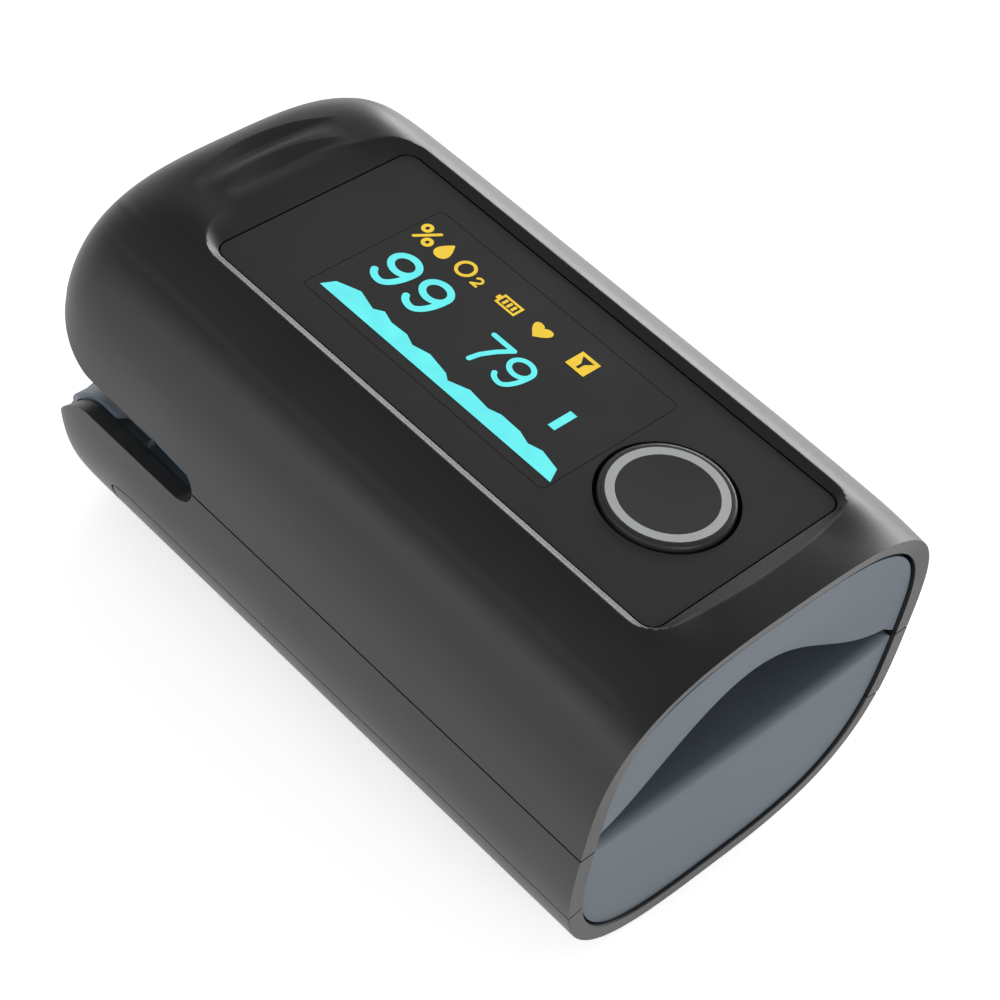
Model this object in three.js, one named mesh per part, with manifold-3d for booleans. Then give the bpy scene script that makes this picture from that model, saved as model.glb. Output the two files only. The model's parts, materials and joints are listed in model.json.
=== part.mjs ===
// Fingertip pulse oximeter: two halves on a sprung hinge, with a finger channel between them.
// Row frame: millimetres, +X towards the finger opening, +Z up, origin at the centre of the underside.
import * as THREE from "three";
import { mergeVertices } from "three/addons/utils/BufferGeometryUtils.js";
import Module from "manifold-3d";

const wasm = await Module();
wasm.setup();

// ---- Body ----
const LENGTH = 59.7;
const WALL = 1.4; // shells and door
const GAP = 0.3; // shut lines, and the gap between neighbouring mouldings
const SEAT = 0.05; // bond line between two pieces fixed to each other
const UPPER_POWER = 3.3; // squareness of the shoulders
const LOWER_POWER = 3.1; // squareness of the underside
const WIDEST_ABOVE_SEAM = 0.7;
const FLAT_WIDTH = 10; // flat strip that the object rests on
const SECTION_STEPS = 8; // points per quarter of the body section
const PLAN_TAPER = 11; // length over which the rear end rounds off in plan
const PLAN_POWER = 4.6;

// ---- Squeeze slot, lever ends and hinge ----
const SLOT_LENGTH = 19.55; // from the rear end to the front end of the slot
const SLOT_RADIUS = 2;
const SLOT_ABOVE_SEAM = 1.85;
const SLOT_BELOW_SEAM = 1.85;
const NOSE_POWER = 2.5; // squareness of the rounded lever ends
const UPPER_NOSE_TOP = 7; // length of the rounding above the upper lever's rearmost line
const LEVER_MOUTH = 4.6; // length over which the slot widens towards the lever ends
const LEVER_MOUTH_POWER = 1.6;
const LEVER_MOUTH_SETBACK = 2.7; // from the rear end to where the slot is widest
const UPPER_NOSE_RISE = 6; // rearmost line of the upper lever, above the seam
const LOWER_NOSE = 4.6; // rounding of the lower lever, above and below
const LOWER_NOSE_DROP = 7; // rearmost line of the lower lever, below the seam
const LOWER_NOSE_SETBACK = 0.4; // the lower lever is shorter than the upper one
const HINGE_SETBACK = 1.35; // hinge line behind the front end of the slot
const PIN_RADIUS = 1;
const PIN_FIT = 0.05; // running fit of the pin in its ears
const EAR_RADIUS = 2.15;
const LOWER_EAR_Y = 9.4; // inner face of a lower ear
const EAR_WIDTH = 1.5;
const EAR_GAP = 0.4;
const PIN_END = 0.5; // pin past the outer ears

// ---- Window, display and button ----
const PANEL_LENGTH = 43.8;
const PANEL_WIDTH = 18.8;
const PANEL_THICK = 1;
const PANEL_SETBACK = 4.4; // window's front edge behind the front face
const PANEL_SUNK = 0.97; // window below the crown of the shell
const PANEL_CORNER = 1.1;
const PANEL_GAP = 0.15;
const RECESS_MARGIN = 0.9; // sunk border around the window
const DECK_THICK = 0.95; // shell under the window
const BUTTON_SETBACK = 12;
const BUTTON_RADIUS = 4.8;
const BUTTON_GAP = 0.3;
const BUTTON_PROUD = 0.32;
const BUTTON_TRAVEL_SPACE = 0.5; // between the cap and the switch
const SWITCH_HEIGHT = 0.88;
const FLANGE_WIDTH = 1.1; // lip of the cap under the shell
const FLANGE_THICK = 0.4;
const RING_INSET = 0.47; // from the cap's edge to the ring
const RING_WIDTH = 0.71;
const RING_DEPTH = 0.4;
const OLED_LENGTH = 27;
const OLED_WIDTH = 14.4;
const OLED_THICK = 1.3;
const OLED_SPACE = 0.7; // between the display and the button's lip
const GASKET_THICK = 0.45;
const GASKET_BORDER = 1;

// ---- Finger channel ----
const CHANNEL_AHEAD = 5; // channel's rear end ahead of the hinge
const ARCH_ABOVE_SEAM = 0.5; // channel roof at its sides
const ARCH_RISE = 5.3;
const ARCH_HALF = 13.6;
const ARCH_POWER = 0.85; // below 1 broadens the top of the arch
const ARCH_STEPS = 14;
const PAD_SKIN = 1.1; // upper pad over its frame
const FRAME_SKIN = 1.1; // upper frame over the pad
const APRON_THICK = 1.1; // front faces of the pads
const APRON_SETBACK = 0.3;
const PAD_FLOOR = 0.8; // lower pad under the channel
const TROUGH_DEPTH = 1.1;
const TROUGH_HALF = 10.4;
const TROUGH_POWER = 2.4;
const PAD_BELOW_SEAM = 0.2;
const CABLE_SPACE = 0.35; // between the tray and the lower pad

// ---- Boards and optics ----
const BOARD_THICK = 0.8;
const BOARD_HALF = 10;
const BOARD_PAST_OLED = 2.4; // room for the ribbon behind the display
const BOARD_PAST_SOCKET = 0.8;
const SOCKET_HALF = 1.1;
const BOARD_FRONT_SETBACK = 5.1;
const BOARD_SPACE = 0.4; // between the emitter board and the main board
const OPTIC_SETBACK = 20.5; // emitter and receiver face each other here
const LENS_RADIUS = 2.9;
const LED_HALF = 1.6;
const SMALL_BOARD_HALF = 4;
const SMALL_BOARD_THICK = 0.6;
const CABLE_BEHIND_HINGE = 4.6; // where the flat cable crosses between the halves
const CABLE_HALF = 2.5;
const CABLE_THICK = 0.2;
const SOCKET_THICK = 1;
const BUZZER_BEHIND_HINGE = 0.3;
const BUZZER_RADIUS = 2.9;
const BUZZER_THICK = 1.8;

// ---- Battery bay ----
const CELL_RADIUS = 5.25;
const CELL_LENGTH = 44.5;
const CELL_NUB = 1;
const CELL_NUB_RADIUS = 1.9;
const CELL_SPACING = 0.3;
const CELL_FLOOR = 0.35; // between the door and the cells
const CELL_SETBACK = 7.9; // cells' front end behind the front face
const TRAY_THICK = 0.8; // lower frame over the cells
const TRAY_SPACE = 0.2;
const SKIRT_SPACE = 0.15;
const SKIRT_THICK = 0.7;
const POST_RADIUS = 1.6; // screw posts of the lower shell, beside the battery bay
const POST_SPACE = 0.45; // between a post and the shell's wall
const SPRING_ROOM = 3; // beyond the front end of the cells
const CONTACT_THICK = 0.4;
const BAND_HEIGHT = 7.2; // lower shell's side, from the seam down to the door
const DOOR_COVERS = 2.4; // the cells reach this far behind the door
const TONGUE = 0.5; // door tongue that laps inside the lower shell
const TONGUE_HEIGHT = 1.6;
const BEAD = 0.25; // rail bead along the top of the tongue, which runs in a groove
const BEAD_HEIGHT = 0.5;
const RAIL_FIT = 0.15;

// ---- Screws ----
const SCREW_HEAD_RADIUS = 1.4;
const SCREW_HEAD = 0.75;
const SCREW_RADIUS = 0.8;
const SCREW_LENGTH = 4;
const SCREW_FIT = 0.2;
const CUT_REACH = 5; // how far a cutting shape runs past the piece it cuts
const BOSS_RADIUS = 1.8;
const WING_BOARD = 1.6; // top of the upper frame's wings above the pad's sides
const WING_SPACE = 0.45;
const JOIN_LAP = 1; // overlap where the parts of one moulding meet
const FLOOR_THICK = 1.2; // upper frame under the rear of the upper shell

// ---- Places along the object ----
const FRONT = LENGTH / 2;
const REAR = -LENGTH / 2;
const SLOT_END_X = REAR + SLOT_LENGTH;
const HINGE_X = SLOT_END_X - HINGE_SETBACK;
const PANEL_X = FRONT - PANEL_SETBACK - PANEL_LENGTH / 2;
const BUTTON_X = FRONT - BUTTON_SETBACK;
const OLED_X = BUTTON_X - BUTTON_RADIUS - FLANGE_WIDTH - OLED_SPACE - OLED_LENGTH / 2;
const OPTIC_X = FRONT - OPTIC_SETBACK;
const CHANNEL_REAR_X = HINGE_X + CHANNEL_AHEAD;
const CABLE_X = HINGE_X - CABLE_BEHIND_HINGE;
const BUZZER_X = HINGE_X - BUZZER_BEHIND_HINGE;
const BOARD_REAR_X = Math.min(
  OLED_X - OLED_LENGTH / 2 - BOARD_PAST_OLED, CABLE_X - SOCKET_HALF - BOARD_PAST_SOCKET);
const BOARD_FRONT_X = FRONT - BOARD_FRONT_SETBACK;
const cellFrontX = FRONT - CELL_SETBACK;
const cellRearX = cellFrontX - CELL_LENGTH;
const plateX = cellFrontX + SPRING_ROOM;
const doorRearX = cellRearX + DOOR_COVERS;
const padFrontX = FRONT - APRON_SETBACK;
const apronRearX = padFrontX - APRON_THICK;
const frontRimX = apronRearX - GAP;
const channelEndX = CHANNEL_REAR_X - APRON_THICK;

// ---- Heights, stacked from the underside ----
const cellZ = WALL + CELL_FLOOR + CELL_RADIUS;
const trayLow = cellZ + CELL_RADIUS + TRAY_SPACE;
const trayTop = trayLow + TRAY_THICK;
const padLow = trayTop + CABLE_SPACE;
const troughZ = padLow + PAD_FLOOR;
const padTop = troughZ + TROUGH_DEPTH;
const SEAM_Z = padTop + PAD_BELOW_SEAM;
const HINGE_Z = SEAM_Z;
const WIDEST_Z = SEAM_Z + WIDEST_ABOVE_SEAM;
const SLOT_TOP_Z = SEAM_Z + SLOT_ABOVE_SEAM;
const SLOT_LOW_Z = SEAM_Z - SLOT_BELOW_SEAM;
const UPPER_NOSE_Z = SEAM_Z + UPPER_NOSE_RISE;
const LOWER_NOSE_Z = SEAM_Z - LOWER_NOSE_DROP;
const DOOR_SEAM_Z = SEAM_Z - BAND_HEIGHT;
const railTop = DOOR_SEAM_Z + TONGUE_HEIGHT;
const archSpringZ = SEAM_Z + ARCH_ABOVE_SEAM;
const archTopZ = archSpringZ + ARCH_RISE;
const wingBase = archSpringZ + PAD_SKIN;
const wingLow = wingBase + WING_SPACE; // flat wings of the upper frame, beside the arch
const wingTop = wingBase + WING_BOARD;
const floorLow = SLOT_TOP_Z + GAP;
const floorTop = floorLow + FLOOR_THICK;
const ledTop = archTopZ + PAD_SKIN + SEAT + FRAME_SKIN + SEAT;
const boardLow = ledTop + SMALL_BOARD_THICK + BOARD_SPACE;
const boardTop = boardLow + BOARD_THICK;
const socketLow = boardLow - SOCKET_THICK;
const capLow = boardTop + SWITCH_HEIGHT + BUTTON_TRAVEL_SPACE;
const deckLow = capLow + FLANGE_THICK + GAP;
const deckTop = deckLow + DECK_THICK;
const oledTop = deckTop - GASKET_THICK;
const panelTop = deckTop + PANEL_THICK;
const HEIGHT = panelTop + PANEL_SUNK;

// ---- Places across the object ----
const UPPER_EAR_Y = LOWER_EAR_Y + EAR_WIDTH + EAR_GAP;
const PIN_HALF = UPPER_EAR_Y + EAR_WIDTH + PIN_END;
const CELL_Y = CELL_RADIUS + CELL_SPACING / 2;
const SKIRT_Y = CELL_Y + CELL_RADIUS + SKIRT_SPACE;
const POST_Y = SKIRT_Y + SKIRT_THICK + POST_RADIUS + GAP;
const WIDTH = 2 * (POST_Y + POST_RADIUS + POST_SPACE + WALL);
const WING_BOSS_Y = ARCH_HALF - 0.4;
const FLOOR_BOSS_Y = 8;
const upperScrews = [
  [FRONT - 8, WING_BOSS_Y], [FRONT - 8, -WING_BOSS_Y],
  [REAR + 8.5, FLOOR_BOSS_Y], [REAR + 8.5, -FLOOR_BOSS_Y],
];
const lowerScrews = [
  [FRONT - 7, POST_Y], [FRONT - 7, -POST_Y], [HINGE_X + 7, POST_Y], [HINGE_X + 7, -POST_Y],
];

// ---- Colours ----
const CHARCOAL = [0x3d3d3f, 0.55, 0];
const PANEL_BLACK = [0x2a2a2c, 0.3, 0];
const BLUE_GREY = [0x6f7c86, 0.7, 0];
const FRAME_GREY = [0x66747f, 0.6, 0];
const RING_GREY = [0xc8cdcb, 0.4, 0];
const STEEL = [0xb9bcc0, 0.3, 1];
const GREEN_BOARD = [0x1f5b3a, 0.5, 0];
const CHIP_BLACK = [0x1c1c1e, 0.5, 0];
const CLEAR_LENS = [0xd8e4e6, 0.1, 0];
const FOAM_GREY = [0x4a4d50, 0.95, 0];
const CELL_BLUE = [0x3a6ea5, 0.4, 0.2];
const CABLE_AMBER = [0xb9812f, 0.5, 0];
const GLASS_BLACK = [0x101216, 0.1, 0];
const GOLD = [0xc9a24a, 0.35, 1];

const group = new THREE.Group();

// ================= Solid helpers =================

function solidOf(geometry) {
  const bare = geometry.clone();
  bare.deleteAttribute("normal");
  bare.deleteAttribute("uv");
  const merged = mergeVertices(bare, 1e-4);
  const vertProperties = new Float32Array(merged.attributes.position.array);
  const triVerts = new Uint32Array(merged.index.array);
  return new wasm.Manifold(new wasm.Mesh({ numProp: 3, vertProperties, triVerts }));
}

function geometryOf(solid) {
  const mesh = solid.getMesh();
  const geometry = new THREE.BufferGeometry();
  const positions = new Float32Array(mesh.vertProperties);
  geometry.setAttribute("position", new THREE.BufferAttribute(positions, 3));
  geometry.setIndex(new THREE.BufferAttribute(new Uint32Array(mesh.triVerts), 1));
  geometry.computeVertexNormals();
  return geometry;
}

function join(first, ...others) {
  return others.reduce((sum, other) => sum.add(other), first);
}

function cut(first, ...tools) {
  return tools.reduce((rest, tool) => rest.subtract(tool), first);
}

function common(first, ...others) {
  return others.reduce((rest, other) => rest.intersect(other), first);
}

function piece(name, shape, look) {
  const [color, roughness, metalness] = look;
  const material = new THREE.MeshStandardMaterial({ color, roughness, metalness });
  const geometry = shape.isBufferGeometry ? shape : geometryOf(shape);
  const mesh = new THREE.Mesh(geometry, material);
  mesh.name = name;
  group.add(mesh);
}

// A box between two corners.
function box(x0, x1, y0, y1, z0, z1) {
  const geometry = new THREE.BoxGeometry(x1 - x0, y1 - y0, z1 - z0);
  geometry.translate((x0 + x1) / 2, (y0 + y1) / 2, (z0 + z1) / 2);
  return solidOf(geometry);
}

// A closed outline, given as [a, b] pairs, extruded along an axis from one place to another.
// Along x the pairs are (y, z), along y they are (x, z), and along z they are (x, y).
function prism(outline, axis, from, to) {
  const shape = new THREE.Shape(outline.map(([a, b]) => new THREE.Vector2(a, b)));
  const geometry = new THREE.ExtrudeGeometry(shape, { depth: to - from, bevelEnabled: false });
  const X = new THREE.Vector3(1, 0, 0);
  const Y = new THREE.Vector3(0, 1, 0);
  const Z = new THREE.Vector3(0, 0, 1);
  const turn = new THREE.Matrix4();
  if (axis === "x") {
    turn.makeBasis(Y, Z, X);
    geometry.translate(0, 0, from);
  } else if (axis === "y") {
    turn.makeBasis(X, Z, Y.clone().negate());
    geometry.translate(0, 0, -to);
  } else {
    geometry.translate(0, 0, from);
  }
  geometry.applyMatrix4(turn);
  return solidOf(geometry);
}

// A round solid about an axis through (a, b), from a profile of [radius, height] pairs.
function turned(profile, axis, a, b, at, sides = 24) {
  const points = profile.map(([radius, height]) => new THREE.Vector2(radius, height));
  const geometry = new THREE.LatheGeometry(points, sides);
  if (axis === "x") {
    geometry.rotateZ(-Math.PI / 2);
    geometry.translate(at, a, b);
  } else if (axis === "y") {
    geometry.translate(a, at, b);
  } else {
    geometry.rotateX(Math.PI / 2);
    geometry.translate(a, b, at);
  }
  return solidOf(geometry);
}

function disc(axis, a, b, from, to, radius, sides = 24) {
  const profile = [[0, 0], [radius, 0], [radius, to - from], [0, to - from]];
  return turned(profile, axis, a, b, from, sides);
}

// A round wire along a path of points.
function wire(points, radius, steps, sides = 6) {
  const outline = new THREE.Shape();
  outline.absarc(0, 0, radius, 0, 2 * Math.PI, false);
  const path = new THREE.CatmullRomCurve3(points.map((p) => new THREE.Vector3(...p)));
  const options = { steps, curveSegments: sides / 2, extrudePath: path, bevelEnabled: false };
  return solidOf(new THREE.ExtrudeGeometry(outline, options));
}

function roundedRect(x, y, length, width, radius) {
  const corners = [[1, 1, 0], [-1, 1, 1], [-1, -1, 2], [1, -1, 3]];
  return corners.flatMap(([sx, sy, quarter]) =>
    [0, 1, 2, 3].map((step) => {
      const angle = (quarter + step / 3) * (Math.PI / 2);
      const px = x + sx * (length / 2 - radius) + radius * Math.cos(angle);
      const py = y + sy * (width / 2 - radius) + radius * Math.sin(angle);
      return [px, py];
    }),
  );
}

// A quarter of a squared ellipse, from angle0 to angle1, as points about (x, y).
function squaredArc(x, y, rx, ry, power, angle0, angle1, steps) {
  return Array.from({ length: steps + 1 }, (_, i) => {
    const angle = angle0 + ((angle1 - angle0) * i) / steps;
    const c = Math.cos(angle);
    const s = Math.sin(angle);
    const px = x + rx * Math.sign(c) * Math.abs(c) ** (2 / power);
    const py = y + ry * Math.sign(s) * Math.abs(s) ** (2 / power);
    return [px, py];
  });
}

// ================= Body envelope =================

// Radius of the underside's squared ellipse, which leaves the flat strip at z = 0.
function undersideReach() {
  const share = (FLAT_WIDTH / WIDTH) ** LOWER_POWER;
  return WIDEST_Z / (1 - share) ** (1 / LOWER_POWER);
}

// Body section (y, z), moved in by inset.
function sectionOutline(inset) {
  const half = WIDTH / 2 - inset;
  const quarter = Math.PI / 2;
  const up = HEIGHT - WIDEST_Z - inset;
  const down = undersideReach() - inset;
  const upper = squaredArc(0, WIDEST_Z, half, up, UPPER_POWER, 0, 2 * quarter, 2 * SECTION_STEPS);
  const lower = squaredArc(
    0, WIDEST_Z, half, down, LOWER_POWER, 2 * quarter, 4 * quarter, 2 * SECTION_STEPS);
  const edge = FLAT_WIDTH / 2;
  const left = lower.slice(1, -1).filter(([y]) => y < -edge - 1);
  const right = lower.slice(1, -1).filter(([y]) => y > edge + 1);
  return [...upper, ...left, [-edge, inset], [edge, inset], ...right];
}

function section(inset, x0, x1) {
  return prism(sectionOutline(inset), "x", x0, x1);
}

// Plan of the body (x, y): straight sides and a rounded rear end.
function planPrism(inset) {
  const half = WIDTH / 2 - inset;
  const start = REAR + PLAN_TAPER;
  const rear = squaredArc(
    start, 0, PLAN_TAPER - inset, half, PLAN_POWER, Math.PI / 2, 1.5 * Math.PI, 12);
  const outline = [[FRONT + 1, -half], [FRONT + 1, half], ...rear];
  return prism(outline, "z", -1, HEIGHT + 1);
}

// Side profile (x, z) of the upper half. Inside, the profile is open downwards.
function upperProfile(inset) {
  const rise = HEIGHT - UPPER_NOSE_Z - inset;
  const top = squaredArc(
    REAR + UPPER_NOSE_TOP, UPPER_NOSE_Z, UPPER_NOSE_TOP - inset, rise, NOSE_POWER,
    Math.PI / 2, Math.PI, 6);
  const front = FRONT + inset;
  if (inset > 0) {
    return [[front, SEAM_Z - 9], [front, HEIGHT], ...top, [REAR + inset, SEAM_Z - 9]];
  }
  const low = squaredArc(
    REAR + LEVER_MOUTH_SETBACK + LEVER_MOUTH, UPPER_NOSE_Z, LEVER_MOUTH,
    UPPER_NOSE_Z - SLOT_TOP_Z, LEVER_MOUTH_POWER, Math.PI, 1.5 * Math.PI, 5);
  const seam = SEAM_Z + GAP / 2;
  const slot = squaredArc(
    SLOT_END_X - SLOT_RADIUS, seam, SLOT_RADIUS, SLOT_TOP_Z - seam, 2, Math.PI / 2, 0, 4);
  return [[front, seam], [front, HEIGHT], ...top, ...low, ...slot];
}

// Side profile (x, z) of the lower half. Inside, the profile is open upwards.
function lowerProfile(inset) {
  const noseX = REAR + LOWER_NOSE_SETBACK + LOWER_NOSE;
  const reach = LOWER_NOSE - inset;
  const low = squaredArc(
    noseX, LOWER_NOSE_Z, reach, LOWER_NOSE_Z - inset, NOSE_POWER, Math.PI, 1.5 * Math.PI, 6);
  const front = FRONT + inset;
  if (inset > 0) {
    return [[front, inset], [front, SEAM_Z + 9], [noseX - reach, SEAM_Z + 9], ...low];
  }
  const top = squaredArc(
    REAR + LEVER_MOUTH_SETBACK + LEVER_MOUTH, LOWER_NOSE_Z, LEVER_MOUTH,
    SLOT_LOW_Z - LOWER_NOSE_Z, LEVER_MOUTH_POWER, Math.PI / 2, Math.PI, 5);
  const seam = SEAM_Z - GAP / 2;
  const slot = squaredArc(
    SLOT_END_X - SLOT_RADIUS, seam, SLOT_RADIUS, seam - SLOT_LOW_Z, 2, 0, -Math.PI / 2, 4);
  return [[front, 0], [front, seam], ...slot, ...top, ...low];
}

// The outside of a half, or the space inside its wall, moved in by inset.
function envelope(profile, inset) {
  const half = WIDTH;
  const side = prism(profile(inset), "y", -half, half);
  const front = inset > 0 ? FRONT + 1 : FRONT;
  return common(section(inset, REAR, front), side, planPrism(inset));
}

// ================= Upper half: shell, window and button =================

function panelOutline(grow) {
  const radius = PANEL_CORNER + grow;
  return roundedRect(PANEL_X, 0, PANEL_LENGTH + 2 * grow, PANEL_WIDTH + 2 * grow, radius);
}

function bossesUnderShell() {
  return upperScrews.map(([x, y], i) => {
    const low = (i < 2 ? wingTop : floorTop) + GAP;
    const post = disc("z", x, y, low, deckLow + 0.5, BOSS_RADIUS, 12);
    return cut(post, disc("z", x, y, low - 1, low + SCREW_LENGTH, SCREW_RADIUS + PIN_FIT, 12));
  });
}

function upperShell() {
  const inside = envelope(upperProfile, WALL);
  const underDeck = box(REAR, frontRimX, -WIDTH, WIDTH, 0, deckLow);
  const inFront = box(frontRimX, FRONT + 2, -WIDTH, WIDTH, 0, HEIGHT);
  const cavity = join(common(inside, underDeck), common(inside, inFront));
  const recess = prism(panelOutline(RECESS_MARGIN), "z", panelTop, HEIGHT + 1);
  const pocket = prism(panelOutline(PANEL_GAP), "z", deckTop, HEIGHT + 1);
  const oledHole = prism(
    roundedRect(OLED_X, 0, OLED_LENGTH + 2 * GAP, OLED_WIDTH + 2 * GAP, GAP), "z", boardTop, HEIGHT);
  const buttonHole = disc("z", BUTTON_X, 0, boardTop, HEIGHT, BUTTON_RADIUS + BUTTON_GAP);
  const shell = cut(envelope(upperProfile, 0), cavity, recess, pocket, oledHole, buttonHole);
  const bosses = common(join(...bossesUnderShell()), envelope(upperProfile, WALL / 2));
  piece("upper_shell", join(shell, bosses), CHARCOAL);
}

function displayWindow() {
  const plate = prism(panelOutline(0), "z", deckTop, panelTop);
  const hole = disc("z", BUTTON_X, 0, deckTop - 1, HEIGHT, BUTTON_RADIUS + BUTTON_GAP);
  piece("display_window", cut(plate, hole), PANEL_BLACK);
}

function powerButton() {
  const flangeRadius = BUTTON_RADIUS + FLANGE_WIDTH;
  const ringOuter = BUTTON_RADIUS - RING_INSET;
  const ringInner = ringOuter - RING_WIDTH;
  const top = panelTop + BUTTON_PROUD;
  const profile = [
    [0, capLow], [flangeRadius, capLow], [flangeRadius, capLow + FLANGE_THICK],
    [BUTTON_RADIUS, capLow + FLANGE_THICK], [BUTTON_RADIUS, top - 0.3],
    [BUTTON_RADIUS - 0.3, top], [0, top],
  ];
  const groove = cut(
    disc("z", BUTTON_X, 0, top - RING_DEPTH, top + 1, ringOuter + PIN_FIT, 32),
    disc("z", BUTTON_X, 0, top - RING_DEPTH - 1, top + 2, ringInner - PIN_FIT, 32));
  const cap = turned(profile, "z", BUTTON_X, 0, 0, 32);
  piece("button_cap", cut(cap, groove), PANEL_BLACK);
  const ring = cut(
    disc("z", BUTTON_X, 0, top - RING_DEPTH + PIN_FIT, top + 0.03, ringOuter, 32),
    disc("z", BUTTON_X, 0, top - RING_DEPTH - 1, top + 2, ringInner, 32));
  piece("button_ring", ring, RING_GREY);
}

// ================= Upper half: display and electronics =================

function display() {
  const low = oledTop - OLED_THICK;
  const halfL = OLED_LENGTH / 2;
  const halfW = OLED_WIDTH / 2;
  const x0 = OLED_X - halfL;
  const x1 = OLED_X + halfL;
  piece("oled_module", box(x0, x1, -halfW, halfW, low, oledTop), GLASS_BLACK);
  const frame = box(x0, x1, -halfW, halfW, oledTop, deckTop);
  const opening = box(
    x0 + GASKET_BORDER, x1 - GASKET_BORDER, GASKET_BORDER - halfW, halfW - GASKET_BORDER,
    oledTop - 1, deckTop + 1);
  piece("oled_gasket", cut(frame, opening), FOAM_GREY);
  // The ribbon leaves the module's rear edge and folds down to the main board.
  const top = oledTop - 0.5;
  const ribbon = [
    [x0, top], [x0 - 0.8, top], [x0 - 1.2, top - 0.5], [x0 - 1.2, boardTop],
    [x0 - 1, boardTop], [x0 - 1, top - 0.55], [x0 - 0.7, top - 0.2], [x0, top - 0.2],
  ];
  piece("oled_ribbon", prism(ribbon, "y", -4, 4), CABLE_AMBER);
}

function mainBoard() {
  const outline = roundedRect(
    (BOARD_REAR_X + BOARD_FRONT_X) / 2, 0, BOARD_FRONT_X - BOARD_REAR_X, 2 * BOARD_HALF, 1.5);
  const posts = screwHoles(upperScrews, BOSS_RADIUS, boardLow - 1, boardTop + 1);
  piece("main_board", cut(prism(outline, "z", boardLow, boardTop), ...posts), GREEN_BOARD);
  const chipX = OPTIC_X - 9; // centre of the processor
  const nearX = chipX + 5.5;
  piece("processor_chip", box(chipX - 3, chipX + 3, -3, 3, boardTop, boardTop + 0.8), CHIP_BLACK);
  piece("front_end_chip", box(nearX, nearX + 4, -4.5, -0.5, boardTop, boardTop + 0.75), CHIP_BLACK);
  piece("clock_crystal", box(nearX, nearX + 3.2, 2, 4.5, boardTop, boardTop + 0.7), STEEL);
  const socket = box(
    CABLE_X - SOCKET_HALF, CABLE_X + SOCKET_HALF, -3.2, 3.2, socketLow, boardLow);
  piece("cable_socket", socket, CHIP_BLACK);
  const buzzer = disc("z", BUZZER_X, 0, boardLow - BUZZER_THICK, boardLow, BUZZER_RADIUS, 20);
  piece("buzzer", buzzer, CHIP_BLACK);
  const plunger = disc("z", BUTTON_X, 0, boardTop, capLow - BUTTON_TRAVEL_SPACE, 1.1, 12);
  const body = box(BUTTON_X - 2.6, BUTTON_X + 2.6, -2.6, 2.6, boardTop, boardTop + 0.5);
  piece("tact_switch", join(body, plunger), STEEL);
}

// ================= Upper half: frame, pad and emitter =================

// Height of the channel roof at y: a full-bodied cosine arch.
function roofAt(y) {
  const bell = 0.5 + 0.5 * Math.cos((Math.PI * y) / ARCH_HALF);
  return archSpringZ + ARCH_RISE * bell ** ARCH_POWER;
}

// Channel roof (y, z), raised by lift.
function archLine(lift) {
  return Array.from({ length: ARCH_STEPS + 1 }, (_, i) => {
    const y = ARCH_HALF * (1 - (2 * i) / ARCH_STEPS);
    return [y, roofAt(y) + lift];
  });
}

function archPrism(lift, x0, x1) {
  const low = SEAM_Z - 2;
  return prism([[-ARCH_HALF, low], [ARCH_HALF, low], ...archLine(lift)], "x", x0, x1);
}

// Layer between two lifts of the channel roof, with wings out to the shell.
function archLayer(low, high, x0, x1) {
  const half = WIDTH / 2;
  const top = [[half, archSpringZ + high], ...archLine(high), [-half, archSpringZ + high]];
  const under = [[half, archSpringZ + low], ...archLine(low), [-half, archSpringZ + low]];
  return prism([...top, ...under.reverse()], "x", x0, x1);
}

function upperInside(extra) {
  return envelope(upperProfile, WALL + extra);
}

function screwHoles(screws, radius, low, high) {
  return screws.map(([x, y]) => disc("z", x, y, low, high, radius + SCREW_FIT, 12));
}

function ears(innerY, rootZ) {
  const profile = squaredArc(HINGE_X, HINGE_Z, EAR_RADIUS, EAR_RADIUS, 2, 0, 2 * Math.PI, 20);
  const round = profile.slice(1);
  return [1, -1].map((side) => {
    const y0 = side > 0 ? innerY : -innerY - EAR_WIDTH;
    const z0 = Math.min(rootZ, HINGE_Z);
    const z1 = Math.max(rootZ, HINGE_Z);
    const arm = box(HINGE_X - EAR_RADIUS, HINGE_X + EAR_RADIUS, y0, y0 + EAR_WIDTH, z0, z1);
    return join(arm, prism(round, "y", y0, y0 + EAR_WIDTH));
  });
}

function pinBore() {
  return disc("y", HINGE_X, HINGE_Z, -WIDTH / 2, WIDTH / 2, PIN_RADIUS + PIN_FIT, 24);
}

// Floor of a lever: flat beside the slot, and bent with the slot's mouth towards the rear end.
function leverFloor(noseZ, flatZ, thick, frontX) {
  const bend = squaredArc(
    REAR + LEVER_MOUTH_SETBACK + LEVER_MOUTH, noseZ, LEVER_MOUTH, noseZ - flatZ,
    LEVER_MOUTH_POWER, Math.PI, 1.5 * Math.PI, 6);
  const near = [[REAR - 1, noseZ], ...bend, [frontX, flatZ]];
  const far = near.map(([x, z]) => [x === frontX ? x : x + Math.abs(thick) / 2, z + thick]);
  const outline = thick > 0 ? [...near, ...far.reverse()] : [...far, ...near.reverse()];
  return prism(outline, "y", -WIDTH / 2, WIDTH / 2);
}

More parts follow.
